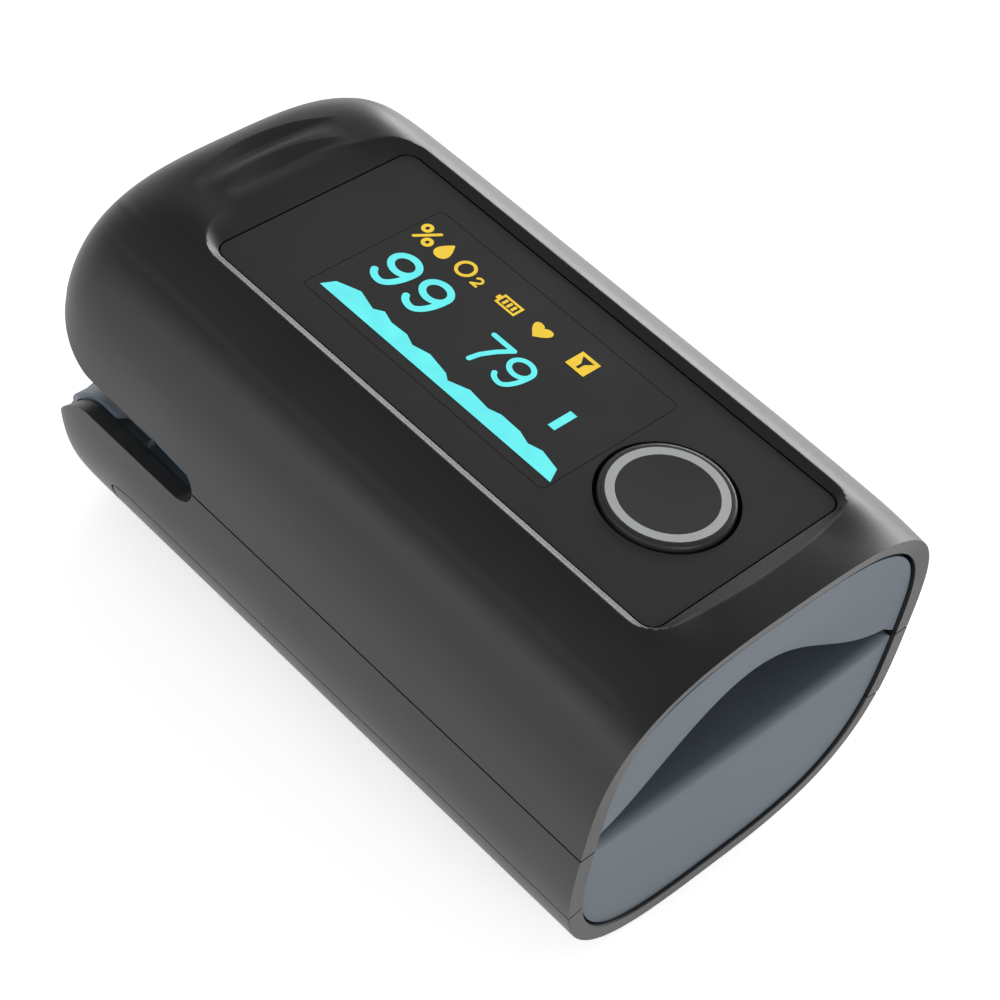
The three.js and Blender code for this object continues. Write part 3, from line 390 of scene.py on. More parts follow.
def body_rows():
    """Places along the body, closer together round the rear end, the slot and the window's ends."""
    share = np.sin(np.linspace(math.pi / 2, 0, 400)) ** (2 / UPPER_PLAN)
    bend = REAR + UPPER_TAPER * (1 - share)
    even = resampled(np.stack([bend, 0.5 * plan_half(bend) + 0.5 * crown(bend)], 1), 80)[:, 0]
    pocket_rear = PANEL_X - POCKET_HALF[0]
    rear = even[even < -27.3]
    grips = []
    for lip, _, _ in GRIP_ARCS:
        grips += [(lip - 0.06, 0.06), (lip, 0.06), (lip + 0.3, 0.1), (lip + GRIP_WALL, 0.12)]
    middle = stations((rear[-1], 0.12), *grips, (CREST_REAR, 0.15), (pocket_rear, 0.15), (-17.8, 0.4),
                      SLOT_FRONT - 2)
    turn = np.linspace(0, math.pi / 2, 10)[1:]
    slot_end = SLOT_FRONT - SLOT_RADIUS + SLOT_RADIUS * np.sin(turn)
    pocket_front = PANEL_X + POCKET_HALF[0]
    ahead = stations((SLOT_FRONT, 0.45), (24.9, 0.14), (pocket_front, 0.12), (27.6, 0.25), FRONT)
    return np.concatenate([rear, middle[1:], slot_end, ahead[1:]])


def upper_shell():
    xs = body_rows()
    side = POCKET_HALF[1]
    half_band = stations((0, 0.5), (side - 1.5, 0.25), (side, 0.1), (10.9, 0.23), TOP_BAND)
    band = np.concatenate([half_band[::-1], -half_band[1:]])
    flank_count = 44
    narrowing = np.minimum(plan_half(xs) / plan_half(-19.5), 1)
    points = []
    for x, narrow in zip(xs, narrowing):
        low = float(upper_edge(x))
        y = band * narrow
        y = y * min(1, float(side_at(x, low)) / max(float(y[0]), 0.001))
        first = float(y[0])
        climb = np.linspace(0, 1, 160)
        reach = crown(x) - WIDEST
        if low < top_at(x, first):
            z = low + (top_at(x, first) - low) * climb
        else:
            z = np.full(160, low)
        outline = np.stack([np.maximum(side_at(x, z), first), z], 1)
        if reach > 0.5:
            steep = np.linspace(outline[-20, 0], first, 60)[1:]
            outline = np.concatenate([outline[:-19], np.stack([steep, top_at(x, steep)], 1)])
        flank = resampled(outline, flank_count)[:-1]
        row_x, row_y = round_corners(
            bowed(x, y), y, PANEL_X, POCKET_HALF, POCKET_RADIUS, 3 * POCKET_RADIUS)
        row_z = gripped(row_x, row_y, sunk(row_x, row_y, top_at(row_x, row_y)))
        points += [(x, a, b) for a, b in flank]
        points += list(zip(row_x, row_y, row_z))
        points += [(x, -a, b) for a, b in flank[::-1]]
    columns = 2 * (flank_count - 1) + len(band)
    grid = np.array(points).reshape(len(xs), columns, 3)
    middle_x = (grid[1:, :-1, 0] + grid[:-1, 1:, 0]) / 2
    middle_y = (grid[1:, :-1, 1] + grid[:-1, 1:, 1]) / 2
    on_top = np.zeros(middle_x.shape, bool)
    on_top[:, flank_count - 1:flank_count - 2 + len(band)] = True
    pocket = outside_of(middle_x, middle_y, PANEL_X, POCKET_HALF, POCKET_RADIUS) < -0.01
    shell = piece("upper_shell_cover", points, sheet_faces(len(xs), columns, ~(pocket & on_top)))
    return place(
        thicken(shell, WALL), "upper_half", "charcoal_shell", charcoal, "upper_shell")


# ---------------------------------------------------------------- lower shell and battery door

DOOR_CORNER = (DOOR_REAR + 3.1, 7.3)  # centre of the door's rounded rear corner, along x and up
DOOR_CORNER_REACH = (DOOR_CORNER[0] - DOOR_REAR, DOOR_SEAM - DOOR_CORNER[1])
DOOR_GAP = 0.13


def bend_door_corner(x, z):
    u = (DOOR_CORNER[0] - x) / DOOR_CORNER_REACH[0]
    v = (z - DOOR_CORNER[1]) / DOOR_CORNER_REACH[1]
    corner = (u > 0) & (v > 0)
    square = np.maximum(np.maximum(u, v), 1e-6)
    reach = np.hypot(np.maximum(u, 1e-6), np.maximum(v, 1e-6))
    weight = np.clip((2.4 - square) / 1.4, 0, 1)
    scale = np.where(corner, 1 + (square / reach - 1) * weight, 1)
    bent_x = DOOR_CORNER[0] - DOOR_CORNER_REACH[0] * u * scale
    bent_z = DOOR_CORNER[1] + DOOR_CORNER_REACH[1] * v * scale
    return np.where(corner, bent_x, x), np.where(corner, bent_z, z)


def lower_rows():
    share = np.linspace(1, 0, 300)
    tip = LOWER_REAR + LOWER_NOSE_LONG * (1 - share)
    even = resampled(np.stack([tip, belly(tip), lower_plan(tip)], 1), 60)[:, 0]
    gap = DOOR_GAP / 2
    front = stations((DOOR_REAR + gap, 0.4), SLOT_FRONT - 2)
    turn = np.linspace(0, math.pi / 2, 10)[1:]
    slot_end = SLOT_FRONT - SLOT_RADIUS + SLOT_RADIUS * np.sin(turn)
    ahead = stations((SLOT_FRONT, 0.45), (26, 0.3), FRONT)
    behind = stations((even[-1], 0.4), DOOR_REAR - gap)[1:]
    return np.concatenate([even, behind, front, slot_end, ahead[1:]])


def lower_skin():
    """Points of the lower half's skin, and which faces belong to the shell and to the door."""
    xs = lower_rows()
    side_count, under_count = 20, 70
    rows = []
    for x in xs:
        edge, base = float(lower_edge(x)), float(belly(x))
        level = DOOR_SEAM / SLOT_LOW
        seam = DOOR_SEAM if x > DOOR_REAR - 1 else base + level * (edge - base)
        gap = min(DOOR_GAP / 2, 0.2 * (edge - base))
        z = np.linspace(edge, seam + gap, side_count)
        bent_x, bent_z = bend_door_corner(np.full(side_count, x), z)
        right = np.stack([bent_x, lower_side_at(bent_x, bent_z), bent_z], 1)
        down = base + (seam - gap - base) * np.linspace(1, 0, 200)
        across = lower_side_at(x, down)
        tail = np.linspace(across[-12], 0, 60)
        share = tail / np.maximum(lower_plan(x), 0.01)
        flat = WIDEST - (WIDEST - base) * rounding(share, UNDER_POWER)
        outline = np.concatenate([np.stack([across[:-12], down[:-12]], 1), np.stack([tail, flat], 1)])
        under = resampled(outline, under_count)
        under_x, under_z = bend_door_corner(np.full(under_count, x), under[:, 1])
        moved = (np.abs(under_x - x) > 1e-6) | (np.abs(under_z - under[:, 1]) > 1e-6)
        under_y = np.where(moved, lower_side_at(under_x, under_z), under[:, 0])
        half = np.concatenate([right, np.stack([under_x, under_y, under_z], 1)])
        mirror = half[::-1][1:] * (1, -1, 1)
        rows.append(np.concatenate([half, mirror]))
    grid = np.array(rows)
    columns = grid.shape[1]
    j = np.arange(columns - 1)[None, :]
    middle = (xs[1:] + xs[:-1])[:, None] / 2 + 0 * j
    below = (j >= side_count) & (j < columns - 1 - side_count)
    in_gap = (j == side_count - 1) | (j == columns - 1 - side_count)
    behind = middle < DOOR_REAR - DOOR_GAP / 2
    ahead = middle > DOOR_REAR + DOOR_GAP / 2
    side = (~below) & ~in_gap
    shell = side | behind | (in_gap & behind)
    door = below & ahead
    return grid, shell, door


def lower_covers():
    grid, shell, door = lower_skin()
    rows, columns = grid.shape[:2]
    points = grid.reshape(-1, 3)
    facing_out = [tuple(reversed(f)) for f in sheet_faces(rows, columns, shell)]
    cover = piece("lower_shell_cover", points, facing_out)
    flip_outwards(cover)
    place(thicken(cover, WALL), "lower_half", "charcoal_shell", charcoal, "lower_shell")
    lid = piece("battery_door_cover", points, sheet_faces(rows, columns, door))
    flip_outwards(lid)
    place(thicken(lid, WALL), "door", "charcoal_shell", charcoal, "battery_door")


def flip_outwards(obj):
    """Turns the faces of an open skin so that they face away from the body's middle line."""
    form = bmesh.new()
    form.from_mesh(obj.data)
    inside = Vector((0, 0, WIDEST * MM))
    facing = sum((f.calc_center_median() - inside).dot(f.normal) * f.calc_area() for f in form.faces)
    if facing < 0:
        bmesh.ops.reverse_faces(form, faces=form.faces)
    form.to_mesh(obj.data)
    form.free()
    smooth(obj)


# ---------------------------------------------------------------- materials

def linear(colour):
    """sRGB numbers from 0 to 255 as linear light."""
    parts = [c / 255 for c in colour]
    return [c / 12.92 if c <= 0.04045 else ((c + 0.055) / 1.055) ** 2.4 for c in parts] + [1]


def group_with(name, inputs, outputs):
    tree = bpy.data.node_groups.new(name, "ShaderNodeTree")
    for label, kind, value in inputs:
        socket = tree.interface.new_socket(label, in_out="INPUT", socket_type=kind)
        if value is not None:
            socket.default_value = value
    for label, kind in outputs:
        tree.interface.new_socket(label, in_out="OUTPUT", socket_type=kind)
    return tree, tree.nodes.new("NodeGroupInput"), tree.nodes.new("NodeGroupOutput")


def moulded_grain():
    """Fine moulding grain: a height that changes over the surface, and a soft mottle from 0 to 1."""
    inputs = [("Grain Size", "NodeSocketFloat", 2500), ("Mottle Size", "NodeSocketFloat", 120)]
    outputs = [("Height", "NodeSocketFloat"), ("Mottle", "NodeSocketFloat")]
    tree, given, result = group_with("moulded_grain", inputs, outputs)
    place_at = tree.nodes.new("ShaderNodeTexCoord")
    grain = tree.nodes.new("ShaderNodeTexNoise")
    grain.inputs["Detail"].default_value = 3
    mottle = tree.nodes.new("ShaderNodeTexNoise")
    mottle.inputs["Detail"].default_value = 2
    for noise, size in ((grain, "Grain Size"), (mottle, "Mottle Size")):
        tree.links.new(place_at.outputs["Object"], noise.inputs["Vector"])
        tree.links.new(given.outputs[size], noise.inputs["Scale"])
    tree.links.new(grain.outputs["Fac"], result.inputs["Height"])
    tree.links.new(mottle.outputs["Fac"], result.inputs["Mottle"])
    return tree


grain_group = moulded_grain()


def finish(name, colour, rough, spread=0.06, tint=0.12, grain=2500, bump=0.04, mottle=120, **fixed):
    """A material whose colour and gloss wander a little, with a fine moulded grain."""
    material = bpy.data.materials.new(name)
    material.use_nodes = True
    nodes, links = material.node_tree.nodes, material.node_tree.links
    shader = nodes["Principled BSDF"]
    surface = nodes.new("ShaderNodeGroup")
    surface.node_tree = grain_group
    surface.inputs["Grain Size"].default_value = grain
    surface.inputs["Mottle Size"].default_value = mottle
    tones = nodes.new("ShaderNodeValToRGB")
    base = linear(colour)
    tones.color_ramp.elements[0].position = 0.3
    tones.color_ramp.elements[1].position = 0.7
    tones.color_ramp.elements[0].color = [c * (1 - tint) for c in base[:3]] + [1]
    tones.color_ramp.elements[1].color = [min(1, c * (1 + tint)) for c in base[:3]] + [1]
    gloss = nodes.new("ShaderNodeMapRange")
    gloss.inputs["To Min"].default_value = rough - spread
    gloss.inputs["To Max"].default_value = rough + spread
    relief = nodes.new("ShaderNodeBump")
    relief.inputs["Strength"].default_value = 1
    relief.inputs["Distance"].default_value = bump * MM
    links.new(surface.outputs["Mottle"], tones.inputs["Fac"])
    links.new(tones.outputs["Color"], shader.inputs["Base Color"])
    links.new(surface.outputs["Mottle"], gloss.inputs["Value"])
    links.new(gloss.outputs["Result"], shader.inputs["Roughness"])
    links.new(surface.outputs["Height"], relief.inputs["Height"])
    links.new(relief.outputs["Normal"], shader.inputs["Normal"])
    for socket, value in fixed.items():
        shader.inputs[socket.replace("_", " ")].default_value = value
    return material


def glowing(name, colour, strength):
    """A lit display colour, a little uneven from cell to cell."""
    material = finish(name, colour, 0.35, tint=0.05, grain=900, bump=0.0, mottle=600)
    nodes, links = material.node_tree.nodes, material.node_tree.links
    shader = nodes["Principled BSDF"]
    tones = next(n for n in nodes if n.type == "VALTORGB")
    links.remove(shader.inputs["Base Color"].links[0])
    shader.inputs["Base Color"].default_value = (0.01, 0.01, 0.01, 1)
    shader.inputs["Specular IOR Level"].default_value = 0.1
    links.new(tones.outputs["Color"], shader.inputs["Emission Color"])
    shader.inputs["Emission Strength"].default_value = strength
    return material


charcoal = finish(
    "charcoal_plastic", (29, 29, 30), 0.4, grain=7000, bump=0.006, tint=0.05, Specular_IOR_Level=0.4)
window_black = finish("window_plate", (50, 50, 51), 0.32, bump=0.0, tint=0.03, Specular_IOR_Level=0.3)
cap_black = finish("button_plastic", (50, 50, 51), 0.38, bump=0.0, tint=0.03, Specular_IOR_Level=0.3)
ring_grey = finish("light_guide_ring", (196, 200, 198), 0.35, bump=0.002, tint=0.03)
silicone = finish(
    "blue_grey_silicone", (82, 91, 99), 0.6, grain=5000, bump=0.012, tint=0.05, Specular_IOR_Level=0.4)
frame_plastic = finish("blue_grey_moulding", (92, 104, 114), 0.5, grain=5000, bump=0.008, tint=0.05)
display_black = finish("display_glass", (14, 16, 20), 0.12, bump=0.0, tint=0.1)
board_green = finish("circuit_board", (30, 88, 58), 0.45, mottle=900, tint=0.25)
chip_resin = finish("chip_resin", (28, 28, 30), 0.5, bump=0.01)
foam_grey = finish("gasket_foam", (70, 73, 76), 0.95, grain=6000, bump=0.08)
film_amber = finish("flex_film", (180, 125, 50), 0.35, mottle=700, tint=0.2)
steel = finish("spring_steel", (190, 192, 196), 0.28, mottle=500, Metallic=1.0)
gold = finish("plated_contact", (205, 165, 80), 0.3, mottle=500, Metallic=1.0)
lens_clear = finish("clear_lens", (225, 236, 238), 0.08, bump=0.0, tint=0.02)
sleeve_blue = finish("cell_sleeve", (56, 100, 160), 0.35, mottle=300, tint=0.1)
cyan_glow = glowing("display_cyan", (112, 250, 255), 0.92)
yellow_glow = glowing("display_yellow", (255, 212, 66), 0.92)

SLOT_MATERIALS = {
    "charcoal_shell": charcoal, "black_window": window_black, "light_ring": ring_grey,
    "display_glass": display_black, "blue_grey_silicone": silicone,
    "blue_grey_frame": frame_plastic, "circuit_board": board_green, "chip_black": chip_resin,
    "foam": foam_grey, "flex_film": film_amber, "steel": steel, "plated_contact": gold,
    "clear_lens": lens_clear, "cell_sleeve": sleeve_blue,
}


def finish_packed_nodes():
    """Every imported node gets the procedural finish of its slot."""
    for entry in frame["record"]["subparts"]:
        obj = frame["nodes"][entry["node"]]
        obj.data.materials.clear()
        obj.data.materials.append(SLOT_MATERIALS[entry["material_slot"]])


# ---------------------------------------------------------------- window, button and display

def rounded_outline(centre, half, radius, per_corner=8):
    points = []
    for sx, sy, quarter in ((1, 1, 0), (-1, 1, 1), (-1, -1, 2), (1, -1, 3)):
        for step in range(per_corner + 1):
            turn = (quarter + step / per_corner) * math.pi / 2
            points.append((
                centre[0] + sx * (half[0] - radius) + radius * math.cos(turn),
                centre[1] + sy * (half[1] - radius) + radius * math.sin(turn)))
    return points


def plate_with_hole(name, outline, hole, low, high, edge):
    """A flat plate between two heights with a softened upper edge, and one hole through it."""
    form = bmesh.new()
    loops = []
    for outline_points in (outline, hole):
        if outline_points:
            verts = [form.verts.new((x * MM, y * MM, high * MM)) for x, y in outline_points]
            loops += [form.edges.new((a, b)) for a, b in zip(verts, verts[1:] + verts[:1])]
    bmesh.ops.triangle_fill(form, edges=loops, use_beauty=True, use_dissolve=False)
    made = form.faces[:]
    for face in made:
        if face.normal.z < 0:
            face.normal_flip()
    mesh = bpy.data.meshes.new(name)
    form.to_mesh(mesh)
    form.free()
    obj = bpy.data.objects.new(name, mesh)
    bpy.context.scene.collection.objects.link(obj)
    smooth(obj)
    return thicken(obj, high - low, edge)


def circle(x, y, radius, sides=96):
    turns = [2 * math.pi * i / sides for i in range(sides)]
    return [(x + radius * math.cos(t), y + radius * math.sin(t)) for t in turns]


BUTTON_RADIUS = 4.8
GROOVE_RADIUS = 5.12


def window():
    outline = rounded_outline((PANEL_X, 0), PANEL_HALF, PANEL_RADIUS)
    hole = circle(BUTTON_X, 0, GROOVE_RADIUS)
    plate = plate_with_hole("window_plate", outline, hole, panel_low.z + 0.02, PANEL_TOP, 0.08)
    place(plate, "upper_half", "black_window", window_black, "display_window")


def button():
    top = cap_high.z
    low = cap_low.z
    outer = (ring_high.x - ring_low.x) / 2
    inner = outer - 0.71
    profile = [
        (0, low), (5.6, low), (5.6, low + 0.4), (BUTTON_RADIUS, low + 0.4),
        (BUTTON_RADIUS, top - 0.28), (BUTTON_RADIUS - 0.04, top - 0.14),
        (BUTTON_RADIUS - 0.13, top - 0.04), (BUTTON_RADIUS - 0.26, top),
        (outer + 0.03, top), (outer, top - 0.03), (outer, top - 0.2),
        (inner, top - 0.2), (inner, top - 0.03), (inner - 0.03, top), (2.4, top - 0.03), (0, top - 0.05),
    ]
    cap = turned("power_button_cap", profile, BUTTON_X, 0)
    place(cap, "power_button", "black_window", cap_black, "button_cap")
    band = [
        (inner + 0.01, top - 0.19), (outer - 0.01, top - 0.19), (outer - 0.01, top - 0.02),
        (outer - 0.03, top + 0.005), (inner + 0.03, top + 0.005), (inner + 0.01, top - 0.02),
        (inner + 0.01, top - 0.19),
    ]
    ring = turned("power_button_ring", band, BUTTON_X, 0)
    place(ring, "power_button", "light_ring", ring_grey, "button_ring")


# ---------------------------------------------------------------- silicone pads

ARCH_SPRING = 16.15
ARCH_RISE = 5.3
ARCH_HALF = 13.6
PAD_FACE = FRONT - 0.3
PAD_REAR = pad_low.x
PAD_COLUMNS = 121
RIM_CLEAR = WALL + 0.12  # from the outside of the body to the pads' outline


def arch(y):
    bell = (1 + np.cos(math.pi * np.clip(np.abs(y) / ARCH_HALF, 0, 1))) / 2
    return ARCH_SPRING + ARCH_RISE * bell ** 0.85


def rolled_lip(outer, inner, face_x, edge_x, radius, rows_on_face, stops):
    """Rows from an outline across a front face, round a lip and on into the channel.

    outer and inner are matching outlines across and up; face_x and edge_x are the face's place
    along the body at each; stops are the places along the body of the rows inside.
    """
    away = outer - inner
    away /= np.linalg.norm(away, axis=1)[:, None]
    radius = np.broadcast_to(radius, len(inner))
    wide = radius[:, None]
    rows = []
    for share in np.linspace(0, 1, rows_on_face):
        flat = outer + (inner + away * wide - outer) * share
        rows.append(np.column_stack([face_x + (edge_x - face_x) * share ** 1.5, flat]))
    for turn in np.linspace(0, math.pi / 2, 8)[1:]:
        flat = inner + away * wide * (1 - math.sin(turn))
        rows.append(np.column_stack([edge_x - radius * (1 - math.cos(turn)), flat]))
    start = edge_x - radius
    for share in stops:
        rows.append(np.column_stack([start + (PAD_REAR - start) * share, inner]))
    return rows


def pad_skin(name, rows, node, thickness):
    grid = np.array(rows)
    obj = piece(name, grid.reshape(-1, 3), sheet_faces(grid.shape[0], grid.shape[1]), 60)
    form = bmesh.new()
    form.from_mesh(obj.data)
    form.faces.ensure_lookup_table()
    if form.faces[len(form.faces) // 80].normal.x < 0:
        bmesh.ops.reverse_faces(form, faces=form.faces)
    form.to_mesh(obj.data)
    form.free()
    smooth(obj, 60)
    body = "upper_half" if node == "upper_pad" else "lower_half"
    place(thicken(obj, thickness, 0.1, 60), body, "blue_grey_silicone", silicone, node)


def upper_pad():
    half = HALF - RIM_CLEAR
    rise = crown(FRONT) - RIM_CLEAR - WIDEST
    turn = np.linspace(0, math.pi, 400)
    across = half * np.sign(np.cos(turn)) * np.abs(np.cos(turn)) ** (2 / FRONT_POWER)
    up = WIDEST + rise * np.abs(np.sin(turn)) ** (2 / FRONT_POWER)
    outline = np.column_stack([across, up])
    outline = np.concatenate([[[half, SEAM + 0.3]], outline, [[-half, SEAM + 0.3]]])
    outer = resampled(outline, PAD_COLUMNS)
    y = np.linspace(half - 0.35, 0.35 - half, 300)
    inner = resampled(np.column_stack([y, arch(y)]), PAD_COLUMNS)
    lean = 1.1 * (1 - (inner[:, 0] / half) ** 2)
    face = np.full(PAD_COLUMNS, PAD_FACE)
    stops = np.concatenate([np.linspace(0, 0.3, 12)[1:], np.linspace(0.3, 1, 12)[1:]])
    room = np.linalg.norm(outer - inner, axis=1)
    rows = rolled_lip(outer, inner, face, face - lean, np.minimum(0.8, 0.6 * room), 9, stops)
    pad_skin("upper_finger_pad", rows, "upper_pad", 0.9)


def lower_pad():
    half = HALF - RIM_CLEAR
    drop = WIDEST - RIM_CLEAR + 0.35
    turn = np.linspace(0, math.pi, 400)
    across = half * np.sign(np.cos(turn)) * np.abs(np.cos(turn)) ** (2 / UNDER_POWER)
    down = WIDEST - drop * np.abs(np.sin(turn)) ** (2 / UNDER_POWER)
    outline = np.column_stack([across, down])
    outline = outline[outline[:, 1] < SEAM - 0.25]
    outer = resampled(outline, PAD_COLUMNS)
    y = np.linspace(half - 0.2, 0.2 - half, PAD_COLUMNS)
    crease = 15.0 + 0.5 * (np.abs(y) / half) ** 2
    inner = np.column_stack([y, crease])
    face = np.full(PAD_COLUMNS, PAD_FACE)
    room = np.linalg.norm(outer - inner, axis=1)
    rows = rolled_lip(outer, inner, face, face, np.minimum(0.8, 0.6 * room), 12, [])
    trough = 15.45 - 1.05 * (1 - np.clip(np.abs(y) / 10.4, 0, 1) ** 2.4) ** (1 / 2.4)
    start = rows[-1][:, 0]
    for share in np.concatenate([np.linspace(0, 0.3, 14)[1:], np.linspace(0.3, 1, 12)[1:]]):
        depth = ease(share / 0.4)
        x = start + (PAD_REAR - start) * share
        rows.append(np.column_stack([x, y, crease + (trough - crease) * depth]))
    pad_skin("lower_finger_pad", rows, "lower_pad", 0.8)


# ---------------------------------------------------------------- lever liners

LINER_INSET = WALL + 0.12
NOTCH = (-20.5, -17.05)  # gap in the lower liner's edge
CHEEK_REAR = -17.05  # the hinge cheeks, seen through the slot
CHEEK_TOP = 18.4


def liner(name, body, edge, half_at, inset, drop, ahead):
    """A thin lid that closes a lever and follows the slot's mouth."""
    rows = []
    for x in stations((REAR + inset, 0.25), (MOUTH_START, 0.4), ahead):
        half = max(float(half_at(x, float(edge(x)))) - inset, 0.5)
        if body == "lower_half" and NOTCH[0] < x < NOTCH[1]:
            half -= 0.8
        rows.append([(x, y, float(edge(x)) + drop) for y in np.linspace(-half, half, 41)])
    grid = np.array(rows)
    lid = piece(name, grid.reshape(-1, 3), sheet_faces(grid.shape[0], grid.shape[1]), 40)
    place(thicken(lid, 0.5, 0.08), body, "blue_grey_frame", frame_plastic)


def cheek(side):
    """A hinge cheek: a flat wall inside the slot with rounded rear corners."""
    front = SLOT_FRONT + 1.2
    low = [(front, 14.1), (CHEEK_REAR + 0.9, 14.7), (CHEEK_REAR + 0.3, 14.95), (CHEEK_REAR, 15.5)]
    outline = low + [(CHEEK_REAR, CHEEK_TOP), (front, CHEEK_TOP)]
    y = side * (HALF - WALL - 0.32)
    count = len(outline)
    points = [(x, y, z) for x, z in outline] + [(x, y - side * 0.8, z) for x, z in outline]
    faces = [tuple(range(count)), tuple(range(2 * count - 1, count - 1, -1))]
    faces += [(i, i + count, (i + 1) % count + count, (i + 1) % count) for i in range(count)]
    wall = piece("hinge_cheek_" + ("left" if side > 0 else "right"), points, faces)
    form = bmesh.new()
    form.from_mesh(wall.data)
    bmesh.ops.recalc_face_normals(form, faces=form.faces)
    form.to_mesh(wall.data)
    form.free()
    rim = wall.modifiers.new("rounded edges", "BEVEL")
    rim.width = 0.12 * MM
    rim.segments = 3
    place(settle(wall), "upper_half", "blue_grey_frame", frame_plastic)


def lever_liners():
    liner("upper_lever_liner", "upper_half", upper_edge, side_at, LINER_INSET, 0.15, -14)
    liner("lower_lever_liner", "lower_half", lower_edge, lower_side_at, LINER_INSET, -0.12, CHEEK_REAR)
    cheek(1)
    cheek(-1)


# ---------------------------------------------------------------- lit display

GRAPHIC_LIFT = 0.02
READING_HEIGHT = 4.1
RATE_HEIGHT = 3.5
LABEL_Y = 4.1
PULSE_BASE = (-11.27, 12.2, -5.57)
PULSE_TRACE = [  # along, height above the base
    (0.5, 1.1), (2.3, 1.85), (4.1, 1.35), (4.8, 1.85), (5.9, 1.5), (7.4, 1.6), (8.4, 1.2),
    (9.8, 1.6), (11.8, 1.25), (12.4, 0.85), (14.0, 1.5), (16.0, 1.3), (17.0, 1.65),
    (18.9, 1.6), (20.0, 1.25), (21.1, 1.6), (22.9, 1.2),
]


def ribbon(path, width, round_ends=True):
    """Outline polygon strip of a stroke of constant width along a flat path."""
    path = np.asarray(path, float)
    along = np.gradient(path, axis=0)
    along /= np.linalg.norm(along, axis=1)[:, None]
    across = np.column_stack([-along[:, 1], along[:, 0]]) * width / 2
    left, right = list(path + across), list(path - across)
    if round_ends:
        for index, sign in ((-1, 1), (0, -1)):
            centre, side = path[index], across[index] * sign
            forward = along[index] * (width / 2) * sign
            cap = []
            for turn in np.linspace(0, math.pi, 9)[1:-1]:
                cap.append(centre + side * math.cos(turn) + forward * math.sin(turn))
            if index == -1:
                left += cap
            else:
                head = cap
        return [tuple(p) for p in left + right[::-1] + head]
    return [tuple(p) for p in left + right[::-1]]


def arc(centre, radii, start, end, count=28):
    turns = np.radians(np.linspace(start, end, count))
    return [(centre[0] + radii[0] * math.cos(t), centre[1] + radii[1] * math.sin(t)) for t in turns]


def graphic(name, outlines, material, slot="display_glass", height=GRAPHIC_LIFT, lift=0.0):
    """Thin printed shapes on the window: closed outlines, or pairs of an outline and its hole."""
    form = bmesh.new()
    for shape in outlines:
        loops = shape if isinstance(shape[0], list) else [shape]
        edges = []
        for loop in loops:
            verts = [form.verts.new((x * MM, y * MM, (PANEL_TOP + height + lift) * MM)) for x, y in loop]
            edges += [form.edges.new(pair) for pair in zip(verts, verts[1:] + verts[:1])]
        bmesh.ops.triangle_fill(form, edges=edges, use_beauty=True, use_dissolve=False)
    for face in form.faces:
        if face.normal.z < 0:
            face.normal_flip()
    mesh = bpy.data.meshes.new(name)
    form.to_mesh(mesh)
    form.free()
    obj = bpy.data.objects.new(name, mesh)
    bpy.context.scene.collection.objects.link(obj)
    wall = obj.modifiers.new("layer", "SOLIDIFY")
    wall.thickness = height * MM
    wall.offset = -1
    return place(settle(obj), "upper_half", slot, material)


def nine(x, y, height, stroke):
    """A figure nine from its bowl and its tail, centred on x and y."""
    wide, bowl = height * 0.27, height * 0.235
    top = (x, y + height / 2 - bowl - stroke / 2)
    ring = [arc(top, (wide + stroke / 2, bowl + stroke / 2), 0, 348, 40),
            arc(top, (wide - stroke / 2, bowl - stroke / 2), 0, 348, 40)]
    tail_low = y - height / 2 + stroke / 2
    tail = arc((x, top[1]), (wide, top[1] - tail_low), 0, -95, 24)
    hook = arc((x - 0.02, tail_low + height * 0.2), (wide * 0.95, height * 0.2), -92, -160, 12)
    return [ring, ribbon(tail + hook, stroke)]


def seven(x, y, height, stroke):
    left, right = x - height * 0.29, x + height * 0.29
    top = y + height / 2 - stroke / 2
    bar = ribbon([(left, top), (x, top), (right, top)], stroke)
    leg = [(right - 0.02, top), (x + height * 0.08, y + height * 0.12), (x - height * 0.06, y - height * 0.2),
           (x - height * 0.1, y - height / 2 + stroke / 2)]
    return [bar, ribbon(resampled(leg, 12), stroke)]


def droplet(x, y, size):
    """A blood-drop icon."""
    points = []
    for turn in np.linspace(0, 2 * math.pi, 40, endpoint=False):
        pinch = 0.5 * (1 + math.cos(turn)) ** 1.4 / 2 ** 0.4
        wide = 0.42 * size * math.sin(turn) * (1 - 0.75 * pinch)
        points.append((x + wide, y + 0.5 * size * math.cos(turn)))
    return points


def heart(x, y, size):
    points = []
    for turn in np.linspace(0, 2 * math.pi, 48, endpoint=False):
        across = math.sin(turn) ** 3
        up = (13 * math.cos(turn) - 5 * math.cos(2 * turn) - 2 * math.cos(3 * turn)) / 16
        points.append((x + size / 2 * across, y + size / 2 * up))
    return points


